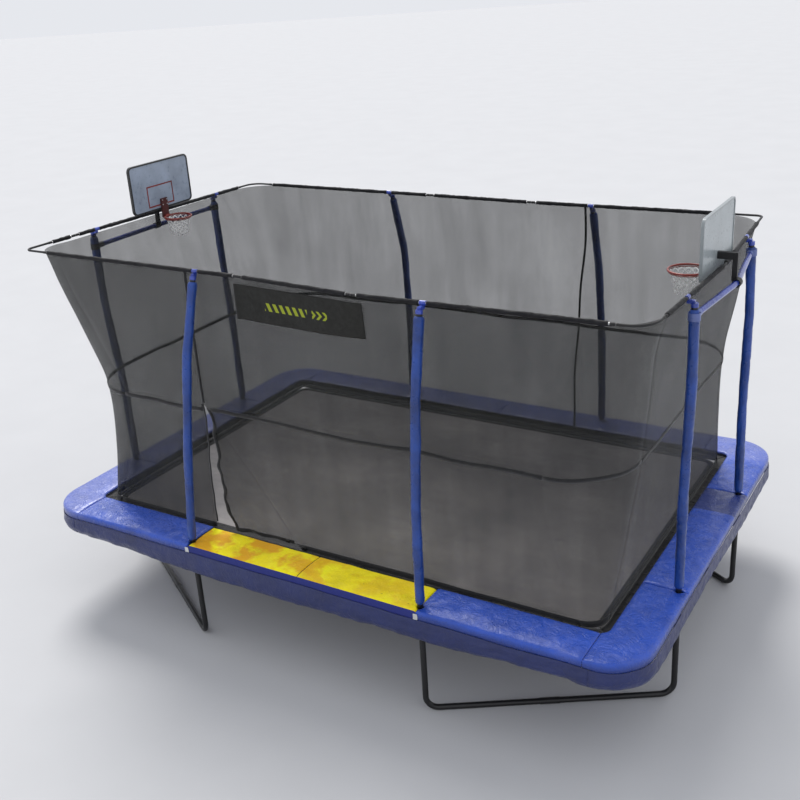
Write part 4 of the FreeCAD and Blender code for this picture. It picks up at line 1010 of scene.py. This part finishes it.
def pad_section(name, inner, outer, node, key, slot, seed, notches=(), seams=()):
    """Stuffed pad between two edge lines, with closed ends."""
    inner, outer = np.asarray(inner, float), np.asarray(outer, float)
    mid = (inner + outer) / 2
    run = np.concatenate([[0], np.cumsum(np.linalg.norm(np.diff(mid, axis=0), axis=1))])
    total = run[-1]
    n, m = len(mid), len(PROFILE)
    verts = []
    for i in range(n):
        cross = (outer[i] - inner[i]) / np.linalg.norm(outer[i] - inner[i])
        width = np.linalg.norm(outer[i] - inner[i]) / PAD_W
        end = min(run[i], total - run[i])
        at_start = run[i] < total / 2
        tip = mid[1] - mid[0] if at_start else mid[-2] - mid[-1]
        tip = tip / np.linalg.norm(tip)
        round_off = 1 - 0.55 * math.exp(-end / 0.007)
        puff = 1 - 0.75 * math.exp(-end / 0.055)
        for across, height, crown, lip in PROFILE:
            if across < 0.28:
                p = inner[i] + cross * across * width
            else:
                p = inner[i] + cross * (across + (width - 1) * PAD_W)
            near = 1.0
            for spot in POLE_SPOTS:
                apart = (p[0] - spot[0]) ** 2 + (p[1] - spot[1]) ** 2
                near = min(near, 1 - math.exp(-apart / 0.006))
            z = height + 0.0115 * crown * puff * near
            z -= lip * 0.010 * (lip_depth(p[0], p[1]) - 1) / 0.3
            if crown > 0:
                z += crease(p[0], p[1], seed) * min(1, crown * 2.2) * near * (0.35 + 0.65 * puff)
                for s in seams:
                    z -= 0.0050 * math.exp(-(((p[0] - s) / 0.007) ** 2)) * min(1, crown * 3)
            if lip == 0:
                z = 0.0105 + (z - 0.0105) * round_off
            elif crown == 0:
                p = p + cross * 0.0016 * fbm(p[0] * 9, p[1] * 9, z * 20, 2)
            for spot in notches:
                d = p - spot
                along = float(d @ tip)
                if abs(along) < 0.055 and end < 0.055:
                    side = math.sqrt(max(float(d @ d) - along * along, 0.0))
                    hole = math.sqrt(max(0.0245 ** 2 - side * side, 0.0))
                    if hole > along:
                        along_new = hole + max(along, 0.0) * (0.055 - hole) / 0.055
                        p = p + tip * (along_new - along)
                    elif hole > 0:
                        p = p + tip * (hole * (1 - along / 0.055))
            verts.append((p[0], p[1], PAD_LOW + z))
    faces = grid_quads(n, m, wrap=True)
    faces.append(tuple(range(m))[::-1])
    faces.append(tuple((n - 1) * m + j for j in range(m)))
    along = np.repeat(run, m)
    steps = np.linalg.norm(np.diff(PROFILE[:, :2], axis=0), axis=1)
    around = np.tile(np.concatenate([[0], np.cumsum(steps)]), n)
    ob = make_mesh(name, verts, faces, np.stack([along, around], axis=1))
    turn_outward(ob)
    finish_piece(ob, key, slot, "frame", [node])
    return ob


def turn_outward(ob):
    """Faces all turned outward."""
    bm = bmesh.new()
    bm.from_mesh(ob.data)
    bmesh.ops.recalc_face_normals(bm, faces=bm.faces)
    bm.to_mesh(ob.data)
    bm.free()


def stations(a, b, pitch=0.009, extra=()):
    n = max(int(abs(b - a) / pitch), 8)
    ends = [a + (b - a) * k for k in (0.002 / abs(b - a), 0.005 / abs(b - a))]
    ends += [b - (b - a) * k for k in (0.005 / abs(b - a), 0.002 / abs(b - a))]
    values = np.concatenate([np.linspace(a, b, n), ends, [v for v in extra if min(a, b) < v < max(a, b)]])
    values = np.unique(np.round(values, 5))
    return values if b > a else values[::-1]


def straight(axis, sign, a, b, extra=()):
    t = stations(a, b, extra=extra)
    if axis == 0:
        return [np.stack([t, np.full_like(t, sign * edge)], 1) for edge in (PAD_IN_Y, PAD_OUT_Y)]
    return [np.stack([np.full_like(t, sign * edge), t], 1) for edge in (PAD_IN_X, PAD_OUT_X)]


def corner_run(sx, sy, start_x, end_y):
    """Edge lines of a corner section from a cut on the long side to a cut on the short side."""
    cx, cy = PAD_OUT_X - PAD_OUT_R, PAD_OUT_Y - PAD_OUT_R
    ix, iy = PAD_IN_X - PAD_IN_R, PAD_IN_Y - PAD_IN_R
    inner, outer = [], []
    n_a = max(int((cx - start_x) / 0.009), 3)
    first = 90.0
    if start_x > ix:
        first = math.degrees(math.acos(min(1.0, (start_x - ix) / PAD_IN_R)))
    lead = [start_x, start_x + 0.002, start_x + 0.005]
    lead += list(np.linspace(start_x, cx, n_a)[1:])
    for x in sorted(lead):
        t = (x - start_x) / (cx - start_x)
        outer.append((x, PAD_OUT_Y))
        if start_x > ix:
            q = math.radians(first - t * 12)
            inner.append((ix + PAD_IN_R * math.cos(q), iy + PAD_IN_R * math.sin(q)))
        else:
            inner.append((start_x + (ix - start_x) * t, PAD_IN_Y))
    turn = first - 12 if start_x > ix else 90.0
    for t in np.linspace(0, 1, 52)[1:]:
        q = math.radians(90 * (1 - t))
        outer.append((cx + PAD_OUT_R * math.cos(q), cy + PAD_OUT_R * math.sin(q)))
        q = math.radians(turn * (1 - t))
        inner.append((ix + PAD_IN_R * math.cos(q), iy + PAD_IN_R * math.sin(q)))
    for y in stations(cy, end_y)[3:]:
        t = (cy - y) / (cy - end_y)
        outer.append((PAD_OUT_X, y))
        inner.append((PAD_IN_X, iy + (end_y - iy) * t))
    flip = np.array((sx, sy))
    return np.array(inner) * flip, np.array(outer) * flip


def pole_xy(name):
    return np.array(POLES[name][0])


def build_pads():
    """Sections end at cuts, each half a gap away from its neighbour."""
    gap = 0.0016
    front_cut, back_left_cut, back_right_cut, back_mid_cut = 2.060, 2.020, 1.900, 0.060
    seam_x, seam_steps = 0.025, (-0.012, -0.006, -0.003, 0, 0.003, 0.006, 0.012)
    for part, sign, a, b, key, seed, notches, seams in (
            ("front_left", -1, -front_cut, -POLE_X, "pad_blue", 1.7, ["front_left"], ()),
            ("entrance", -1, -POLE_X, POLE_X, "pad_yellow", 3.1, ["front_left", "front_right"], (seam_x,)),
            ("front_right", -1, POLE_X, front_cut, "pad_blue", 4.4, ["front_right"], ()),
            ("back_right", 1, back_mid_cut, back_right_cut, "pad_blue", 5.9, [], ()),
            ("back_left", 1, -back_left_cut, back_mid_cut, "pad_blue", 7.3, [], ())):
        inner, outer = straight(0, sign, a + gap, b - gap, [s + k for s in seams for k in seam_steps])
        spots = [pole_xy(k) for k in notches]
        pad_section("pad_%s_cover" % part, inner, outer, "pad_" + part, key, key, seed, spots, seams)
    for side, sign, seed in (("left", -1, 8.8), ("right", 1, 10.4)):
        inner, outer = straight(1, sign, -POLE_Y + gap, POLE_Y - gap)
        spots = [pole_xy(side + "_front"), pole_xy(side + "_back")]
        pad_section("pad_%s_cover" % side, inner, outer, "pad_" + side, "pad_blue", "pad_blue", seed, spots)
    cuts = {"front_left": (front_cut, 12.1), "front_right": (front_cut, 13.6),
            "back_left": (back_left_cut, 15.2), "back_right": (back_right_cut, 16.7)}
    for sx, sy, name in CORNERS:
        cut, seed = cuts[name]
        end, side = name.split("_")
        inner, outer = corner_run(sx, sy, cut + gap, POLE_Y + gap)
        pad_section("pad_corner_" + name, inner, outer, "pad_corner_sections", "pad_blue", "pad_blue", seed,
                    [pole_xy(side + "_" + end)])


build_pads()


# ------------------------------------------------------------------ skirt
def skirt_low(x, y):
    """Height of the skirt's wavy lower edge."""
    along = np.interp(x, (-2.1, -1.6, -1.2, -0.7, 0.0, 0.6, 1.2, 1.55, 1.9, 2.1),
                      (0.630, 0.622, 0.596, 0.587, 0.588, 0.604, 0.602, 0.636, 0.645, 0.635))
    side = 0.612 + 0.016 * math.sin(y * 3.3 + x)
    share = min(1.0, max(0.0, (-y - 1.2) / 0.4))
    return share * along + (1 - share) * side + 0.006 * fbm(x * 5, y * 5, 1.0, 2)


def skirt_piece(name, line, node):
    """Cloth hanging from the pad's turned-down edge; line gives place and outward direction."""
    rows = []
    n = 16
    for k in range(n):
        f = k / (n - 1)
        row = []
        for x, y, nx, ny, run in line:
            top = PAD_LOW - 0.0350 - 0.010 * (lip_depth(x, y) - 1) / 0.3
            low = skirt_low(x, y)
            z = top + (low - top) * f
            fold = 0.0050 * fbm(run * 3.0, f * 1.6, 5.0, 2)
            fold += 0.0045 * fbm(run * 9.0 + f * 2.0, f * 3.0, 8.0, 3)
            fold += 0.0016 * math.sin(run * 46 + 5 * fbm(run * 2, 1.0, 0.0, 2)) * f
            tuck = 0.020 * max(0.0, (f - 0.62) / 0.38) ** 2
            out = 0.0062 + (0.007 + fold) * math.sin(math.pi * min(f, 0.62) / 1.24) - tuck
            row.append((x + nx * out, y + ny * out, z))
        rows.append(row)
    ob = thick_sheet(name, np.array(rows), CLOTH_T)
    finish_piece(ob, "skirt", "skirt_navy", "frame", [node])


def build_skirt():
    cx, cy = PAD_OUT_X - PAD_OUT_R, PAD_OUT_Y - PAD_OUT_R
    arc = PAD_OUT_R * math.pi / 2
    run = 0.0
    pitch = 0.014
    sides = (("skirt_front", (-cx, -PAD_OUT_Y), (cx, -PAD_OUT_Y), (0, -1), "skirt_long_sides"),
             ("skirt_right", (PAD_OUT_X, -cy), (PAD_OUT_X, cy), (1, 0), "skirt_short_sides"),
             ("skirt_back", (cx, PAD_OUT_Y), (-cx, PAD_OUT_Y), (0, 1), "skirt_long_sides"),
             ("skirt_left", (-PAD_OUT_X, cy), (-PAD_OUT_X, -cy), (-1, 0), "skirt_short_sides"))
    bends = (("skirt_corner_front_right", (cx, -cy), -90), ("skirt_corner_back_right", (cx, cy), 0),
             ("skirt_corner_back_left", (-cx, cy), 90), ("skirt_corner_front_left", (-cx, -cy), 180))
    for (name, a, b, out, node), (bend, centre, turn) in zip(sides, bends):
        length = math.dist(a, b)
        line = []
        for t in np.linspace(0, 1, int(length / pitch)):
            line.append((a[0] + (b[0] - a[0]) * t, a[1] + (b[1] - a[1]) * t, *out, run + length * t))
        skirt_piece(name, line, node)
        run += length
        line = []
        for t in np.linspace(0, 1, int(arc / pitch) + 6):
            q = math.radians(turn + 90 * t)
            nx, ny = math.cos(q), math.sin(q)
            line.append((centre[0] + PAD_OUT_R * nx, centre[1] + PAD_OUT_R * ny, nx, ny, run + arc * t))
        skirt_piece(bend, line, "skirt_corners")
        run += arc


build_skirt()


# ------------------------------------------------------------------ pole sleeves
def rounded(points, radius, step=0.012):
    """Points along a run of straight pieces with its corners turned at the radius."""
    pts = [np.array(p, float) for p in points]
    out = [pts[0]]

    def add_line(a, b):
        n = max(int(np.linalg.norm(b - a) / step), 1)
        for k in range(1, n + 1):
            out.append(a + (b - a) * k / n)

    last = pts[0]
    for i in range(1, len(pts) - 1):
        a = (pts[i - 1] - pts[i]) / np.linalg.norm(pts[i - 1] - pts[i])
        b = (pts[i + 1] - pts[i]) / np.linalg.norm(pts[i + 1] - pts[i])
        half = math.acos(max(-1, min(1, float(a @ b)))) / 2
        cut = radius / math.tan(half)
        if cut < 1e-4:
            continue
        start, end = pts[i] + a * cut, pts[i] + b * cut
        centre = pts[i] + (a + b) / np.linalg.norm(a + b) * radius / math.sin(half)
        add_line(last, start)
        n = max(int(np.linalg.norm(end - start) / step), 2)
        for k in range(1, n + 1):
            v = start + (end - start) * k / n - centre
            out.append(centre + v / np.linalg.norm(v) * radius)
        last = end
    add_line(last, pts[-1])
    return np.array(out)


def foam_sleeve(name, spots, seed):
    foot, mid, kink, top = spots
    side = name.split("_")[0]
    ring_z = ring_at(side, top[RING[side][1]])[2]
    line = [(*foot, 0.694), (*foot, 0.850), (*mid, 1.500), (*kink, 2.200), (*top, ring_z - 0.042)]
    path = rounded(line, 0.9)
    tip = path[-1] - path[-2]
    tip /= np.linalg.norm(tip)
    path = path[path[:, 2] > 0.828]
    path = path[(path - path[-1]) @ tip < -0.020]
    n, sides = len(path), 22
    rad = np.empty((n, sides))
    for i in range(n):
        z = path[i][2]
        end = min(i, n - 1 - i) * 0.012
        body = 0.0312 + 0.0011 * math.sin(z * 9 + seed)
        body -= 0.0026 * math.exp(-(((z - 1.24 - 0.07 * math.sin(seed)) / 0.012) ** 2))
        body -= 0.0020 * math.exp(-(((z - 1.92 - 0.06 * math.cos(seed)) / 0.012) ** 2))
        for j in range(sides):
            q = 2 * math.pi * j / sides
            c, s = math.cos(q), math.sin(q)
            r = body + 0.0030 * fbm(c * 1.1 + seed, s * 1.1, z * 7.0, 3)
            r += 0.0012 * fbm(c * 3, s * 3 + seed, z * 26, 2)
            r -= 0.0022 * math.exp(-((min(q, 2 * math.pi - q) / 0.20) ** 2))
            if end < 0.020:
                r -= 0.0075 * (1 - end / 0.020) ** 2
            rad[i, j] = r
    ob = tube("pole_sleeve_" + name, path, rad, sides)
    turn_outward(ob)
    finish_piece(ob, "foam", "foam_blue", "frame", ["pole_foam_sleeves"])


for i, (name, spots) in enumerate(POLES.items()):
    foam_sleeve(name, spots, 1.3 + 2.1 * i)


# ------------------------------------------------------------------ mat
def mat_xy(u, v, half_x, half_y, radius):
    """Square grid point mapped into a rectangle with rounded corners."""
    x, y = u * half_x, v * half_y
    dx, dy = abs(x) - (half_x - radius), abs(y) - (half_y - radius)
    if dx > 0 and dy > 0:
        far = max(dx, dy)
        size = math.hypot(dx, dy)
        dx, dy = dx * far / size, dy * far / size
        x = math.copysign(half_x - radius + dx, x)
        y = math.copysign(half_y - radius + dy, y)
    return x, y


def build_mat():
    def lines(count, dense):
        ends = np.linspace(dense, 1, 10)
        return np.unique(np.round(np.concatenate([np.linspace(-1, 1, count), -ends, ends]), 5))

    us, vs = lines(130, 0.94), lines(84, 0.91)
    rows = []
    for v in vs:
        row = []
        for u in us:
            x, y = mat_xy(u, v, MAT_X, MAT_Y, MAT_R)
            inside = min(1.0, (1 - max(abs(u), abs(v))) / 0.10)
            z = RAIL_Z + MAT_T / 2 + inside * (0.0014 * fbm(x * 1.6, y * 1.6, 0.0, 2) - 0.003)
            row.append((x, y, z))
        rows.append(row)
    return thick_sheet("mat_cloth_sheet", np.array(rows), MAT_T)


def ring_strip(name, inset, width, z, thick, key="webbing"):
    """Flat strip sewn round the mat's edge."""
    def outline(d):
        r = MAT_R - d
        hx, hy = MAT_X - d, MAT_Y - d
        out = []
        for turn, (sx, sy) in enumerate(((1, 1), (-1, 1), (-1, -1), (1, -1))):
            for k in range(11):
                q = math.radians(90 * turn + 9 * k)
                out.append((sx * (hx - r) + r * math.cos(q), sy * (hy - r) + r * math.sin(q)))
        dense = []
        for (ax, ay), (bx, by) in zip(out, out[1:] + out[:1]):
            n = 120 if abs(bx - ax) > 1 else (70 if abs(by - ay) > 1 else 1)
            for k in range(n):
                dense.append((ax + (bx - ax) * k / n, ay + (by - ay) * k / n))
        return dense

    a, b = outline(inset), outline(inset + width)
    n = len(a)
    cross = ((0.0, 0.0), (0.02, 0.7), (0.12, 1.0), (0.5, 1.05), (0.88, 1.0), (0.98, 0.7), (1.0, 0.0))
    verts, uvs = [], []
    run = 0.0
    for i in range(n):
        ax, ay = a[i]
        bx, by = b[i]
        for t, h in cross:
            lift = thick * h * (1 + 0.12 * fbm(ax * 14, ay * 14, t, 2))
            verts.append((ax + (bx - ax) * t, ay + (by - ay) * t, z + lift))
            uvs.append((t * width, run))
        run += math.hypot(a[(i + 1) % n][0] - ax, a[(i + 1) % n][1] - ay)
    m = len(cross)
    faces = []
    for i in range(n):
        k = (i + 1) % n
        for j in range(m):
            q = (j + 1) % m
            faces.append((i * m + j, i * m + q, k * m + q, k * m + j))
    ob = make_mesh(name, verts, faces, uvs)
    turn_outward(ob)
    return finish_piece(ob, key, "webbing", None)


mat_sheet = build_mat()
finish_piece(mat_sheet, "mat", "mat_cloth", "mat", ["jumping_mat"])
MAT_TOP = RAIL_Z + MAT_T / 2
edge_web = ring_strip("mat_edge_web", 0.004, 0.048, MAT_TOP + 0.0004, 0.0026)
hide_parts("mat_edge_webbing")
stitches = []
for inset in (0.009, 0.020, 0.032, 0.046):
    stitches.append(ring_strip("stitch", inset, 0.0016, MAT_TOP + 0.0030, 0.0010, "thread"))
stitch = join("mat_edge_stitching", stitches)
for ob in (edge_web, stitch):
    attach(ob, "mat")


# ------------------------------------------------------------------ net foot: dark sheet of painted shade over the springs, and hooks to the mat
SHADE_SHEET_IN_X, SHADE_SHEET_IN_Y = 2.020, 1.262
SHADE_SHEET_OUT_X, SHADE_SHEET_OUT_Y = 2.118, 1.364
SIDES = (("front", 0, -1), ("back", 0, 1), ("left", 1, -1), ("right", 1, 1))
# springs stand this far apart, so many each way from the middle of a side
SPRING_PITCH, LONG_SPRINGS, SHORT_SPRINGS = 0.120, 16, 9


def pad_to_mat(ob, axis, sign):
    """Bakes the piece's transform; the points at the pad's inner edge and at the mat's edge are worked out
    but not used.
    """
    if axis == 0:
        start, end = (0, sign * SHADE_SHEET_OUT_Y, NET_LOW), (0, sign * SHADE_SHEET_IN_Y, NET_LOW)
    else:
        start, end = (sign * SHADE_SHEET_OUT_X, 0, NET_LOW), (sign * SHADE_SHEET_IN_X, 0, NET_LOW)
    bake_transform(ob)
    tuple(start)
    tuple(end)


def shade_sheet_side(name, axis, sign):
    """Dark mesh sheet of painted shade over the springs, from the mat's edge to under the pad, mitred at
    the corners.
    """
    rows = []
    for k in np.linspace(0, 1, 7):
        ax = SHADE_SHEET_IN_X + (SHADE_SHEET_OUT_X - SHADE_SHEET_IN_X) * k
        ay = SHADE_SHEET_IN_Y + (SHADE_SHEET_OUT_Y - SHADE_SHEET_IN_Y) * k
        z = 0.7872 - 0.0145 * (1 - k) ** 3
        if axis == 0:
            rows.append([(x, sign * ay, z + 0.0005 * math.sin(x * 40)) for x in np.linspace(-ax, ax, 150)])
        else:
            rows.append([(sign * ax, y, z + 0.0005 * math.sin(y * 40)) for y in np.linspace(-ay, ay, 100)])
    rows = np.array(rows)
    if (axis == 0) == (sign > 0):
        rows = rows[:, ::-1]
    # painted shade: the dark sheet fills the gap between mat and pad where shade lies
    ob = strip(name, rows, CLOTH_T, "shade_sheet", "net_mesh")
    pad_to_mat(ob, axis, sign)


for side, axis, sign in SIDES:
    shade_sheet_side("shade_sheet_" + side, axis, sign)


def net_hooks(name, axis, sign):
    """Moulded hooks that tie the net's foot down, one beside each spring; painted light at the back and
    black on the other sides, as lit and shaded copies of one hook.
    """
    parts = []
    count, base = (LONG_SPRINGS, 1.296) if axis == 0 else (SHORT_SPRINGS, 2.036)
    for i in range(-count, count + 1):
        along = i * SPRING_PITCH + 0.004 * math.sin(i * 2.3)
        start = base + 0.0165
        pts = [(-0.004, start, 0.8000), (0.0, start + 0.006, 0.7985), (0.002, start + 0.020, 0.7965),
               (0.0, start + 0.034, 0.7960), (-0.003, start + 0.042, 0.7975)]
        path = []
        for lateral, out, z in pts:
            path.append((along + lateral, sign * out, z) if axis == 0 else (sign * out, along + lateral, z))
        parts.append(tube("part", path, [0.0018, 0.0026, 0.0030, 0.0026, 0.0020], 8))
    ob = join(name, parts)
    turn_outward(ob)
    # painted light and shade: one kind of hook, made light at the back and black on the other sides
    key, slot = ("tie", "rod_light") if name == "net_hooks_back" else ("black_plastic", "plastic_black")
    finish_piece(ob, key, slot, None)
    pad_to_mat(ob, axis, sign)


for side, axis, sign in SIDES:
    net_hooks("net_hooks_" + side, axis, sign)


# ------------------------------------------------------------------ springs
def spring_shape():
    """One coil spring from the mat's ring to its hole in the rail, along +Y from the mat's edge."""
    hook, start, end, rail = 0.0235, 0.045, 0.1925, 0.2065
    turns, per_turn = 30, 8
    coil_r = 0.0088
    path = [(0.004, hook - 0.003, -0.004), (0.0, hook - 0.005, 0.0), (0.0, hook + 0.004, 0.004),
            (0.0, 0.036, 0.001)]
    for k in range(turns * per_turn + 1):
        q = 2 * math.pi * k / per_turn
        f = k / (turns * per_turn)
        r = coil_r * min(1.0, 0.30 + f * 14, 0.30 + (1 - f) * 14)
        path.append((r * math.sin(q), start + (end - start) * f, r * math.cos(q)))
    path += [(0.0, 0.197, 0.0015), (0.0, 0.203, 0.001), (0.0, rail, -0.001)]
    return np.array(path)


def spring_side(name, turn, places):
    """All springs of one side, each with its coil turned differently."""
    shape = spring_shape()
    c, s = math.cos(turn), math.sin(turn)
    rot = np.array(((c, -s, 0), (s, c, 0), (0, 0, 1)))
    one = tube("one", shape, 0.0021, 4)
    local = np.array([v.co for v in one.data.vertices])
    quads = [tuple(p.vertices) for p in one.data.polygons]
    bpy.data.objects.remove(one)
    verts, faces = [], []
    for i, place in enumerate(places):
        spun = local.copy()
        q = i * 2.4
        cq, sq = math.cos(q), math.sin(q)
        coil = (local[:, 1] > 0.044) & (local[:, 1] < 0.193)
        spun[coil, 0] = local[coil, 0] * cq - local[coil, 2] * sq
        spun[coil, 2] = local[coil, 0] * sq + local[coil, 2] * cq
        verts.append(spun @ rot.T + np.array(place))
        faces += [tuple(i * len(local) + k for k in f) for f in quads]
    ob = make_mesh(name, np.concatenate(verts), faces)
    finish_piece(ob, "plated", "plated_steel", None, ["springs"])
    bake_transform(ob)


def build_springs():
    for side, quarter, axis, sign in (("back", 0, 0, 1), ("front", 2, 0, -1),
                                      ("right", -1, 1, 1), ("left", 1, 1, -1)):
        count, edge = (LONG_SPRINGS, MAT_Y) if axis == 0 else (SHORT_SPRINGS, MAT_X)

        def place(along, out):
            across = sign * (edge + out)
            return (along, across, RAIL_Z) if axis == 0 else (across, along, RAIL_Z)

        places = [place(i * SPRING_PITCH, 0) for i in range(-count, count + 1)]
        spring_side("springs_" + side, quarter * math.pi / 2, places)


build_springs()


# ------------------------------------------------------------------ banner
BANNER_LOW, BANNER_TOP, BANNER_LEFT, BANNER_RIGHT = 2.470, 2.700, -0.500, 0.530
banner_rows = []
for z in np.linspace(BANNER_LOW, BANNER_TOP, 22):
    row = []
    down = (BANNER_TOP - z) / (BANNER_TOP - BANNER_LOW)
    for x in np.linspace(BANNER_LEFT, BANNER_RIGHT, 90):
        out = 0.012 + 0.004 * math.sin(x * 6.0) * down + 0.0025 * fbm(x * 5, z * 6, 3.0, 2)
        row.append(wall_point("front", x, z - 0.006 * (1 - abs(x) / BANNER_RIGHT) * down, out))
    banner_rows.append(row)
banner = thick_sheet("banner_cloth_sheet", pulled(banner_rows), CLOTH_T)
finish_piece(banner, "banner", "banner_cloth", "frame", ["banner"])


# ------------------------------------------------------------------ boards, targets and hoops
TARGET_Y = -0.020


def frame_lines(name, x, out, half_y, low, high, wide):
    """Thin printed square on a board's face, with mitred corners."""
    def ring_pts(grow):
        a, b = TARGET_Y - half_y - grow, TARGET_Y + half_y + grow
        return [(a, low - grow), (b, low - grow), (b, high + grow), (a, high + grow)]

    rings = [ring_pts(0), ring_pts(-wide)]
    verts = []
    for depth in (0.0004, 0.0012):
        for ring in rings:
            for y, z in ring:
                verts.append((x + out * depth, y, z))
    faces = []
    for j in range(4):
        k = (j + 1) % 4
        faces += [(j, k, 4 + k, 4 + j), (8 + j, 12 + j, 12 + k, 8 + k)]
        faces += [(j, 8 + j, 8 + k, k), (4 + j, 4 + k, 12 + k, 12 + j)]
    ob = make_mesh(name, verts, faces, smooth=False)
    turn_outward(ob)
    return finish_piece(ob, "hoop_red", "hoop_red")


frame_lines("board_target_left", -2.290, 1, 0.150, 2.842, 3.015, 0.011)
frame_lines("board_target_right", 2.260, -1, 0.150, 2.736, 2.909, 0.011)

HOOPS = {"left": (-2.150, 2.752, 0.108), "right": (2.094, 2.690, 0.125)}


def hoop_wire(side, hoop_x, hoop_z, hoop_r):
    """Wavy wire under a hoop, which its net hangs on."""
    wire_r, wire_z = hoop_r - 0.0035, hoop_z - 0.0125
    circle = [(hoop_x + wire_r * math.cos(q), wire_r * math.sin(q), wire_z + 0.0008 * math.sin(12 * q))
              for q in np.linspace(0, 2 * math.pi, 72, endpoint=False)]
    finish_piece(tube("hoop_lower_wire_" + side, circle, 0.0030, 8, closed=True), "hoop_red", "hoop_red")


def hoop_net(side, hoop_x, hoop_z, hoop_r):
    """Cord net that narrows downwards, scalloped at both edges."""
    drop, top_r, low_r = 0.130, hoop_r - 0.013, 0.62 * hoop_r
    rows = []
    for f in np.linspace(0, 1, 26):
        r = top_r + (low_r - top_r) * f ** 0.8
        row = []
        for q in np.linspace(0, 2 * math.pi, 73):
            scallop = 0.004 * math.cos(12 * q) * (1 - f) + 0.005 * math.cos(12 * q + math.pi) * f
            x = hoop_x + (r + 0.002 * math.sin(5 * q) * f) * math.cos(q)
            row.append((x, r * math.sin(q), hoop_z - 0.012 - drop * f + scallop))
        rows.append(row)
    rows = np.array(rows)
    rows[:, -1] = rows[:, 0]
    cloth = thick_sheet("hoop_net_" + side, rows, 0.0022)
    finish_piece(cloth, "hoop_net", "hoop_cord", "frame", ["hoop_nets"])


for side, sizes in HOOPS.items():
    hoop_wire(side, *sizes)
    hoop_net(side, *sizes)


# ------------------------------------------------------------------ ties
def cloth_tie(name, x):
    """Light cloth tie at the foot of a front pole."""
    rows = []
    for k, z in enumerate((0.800, 0.790, 0.775, 0.760, 0.748, 0.738)):
        row = []
        for t in np.linspace(-1, 1, 7):
            bulge = 0.0035 + 0.0015 * math.sin(k * 1.4 + t)
            row.append((x + 0.016 * t + 0.002 * math.sin(k), -PAD_OUT_Y - bulge - 0.002, z + 0.002 * t))
        rows.append(row)
    tie = thick_sheet(name, np.array(rows), CLOTH_T)
    finish_piece(tie, "tie", "webbing")


cloth_tie("tie_front_left", -POLE_X)
cloth_tie("tie_front_right", POLE_X)


# ------------------------------------------------------------------ stage
def build_stage():
    half = 400
    corners = [(-half, -half, 0), (half, -half, 0), (half, half, 0), (-half, half, 0)]
    floor = make_mesh("floor", corners, [(0, 1, 2, 3)], smooth=False)
    m = Nodes("floor_pale", (0.58, 0.58, 0.58), 0.9)
    m.color(m.ramp(m.noise(1.2), [(0.3, (0.570, 0.575, 0.590)), (0.7, (0.590, 0.595, 0.610))]))
    floor.data.materials.append(m.mat)
    world = bpy.data.worlds.new("world")
    world.use_nodes = True
    sky = world.node_tree.nodes["Background"]
    sky.inputs["Color"].default_value = (0.93, 0.95, 1.0, 1)
    sky.inputs["Strength"].default_value = 0.85
    bpy.context.scene.world = world

    sun = bpy.data.lights.new("soft_sun", "SUN")
    sun.energy = 2.2
    sun.angle = math.radians(25)
    sun.color = (1.0, 0.98, 0.95)
    lamp = bpy.data.objects.new("soft_sun", sun)
    lamp.rotation_euler = Vector((4.6, -5.0, -8.2)).to_track_quat("-Z", "Y").to_euler()
    bpy.context.collection.objects.link(lamp)


build_stage()
bpy.context.scene.view_settings.view_transform = "Standard"
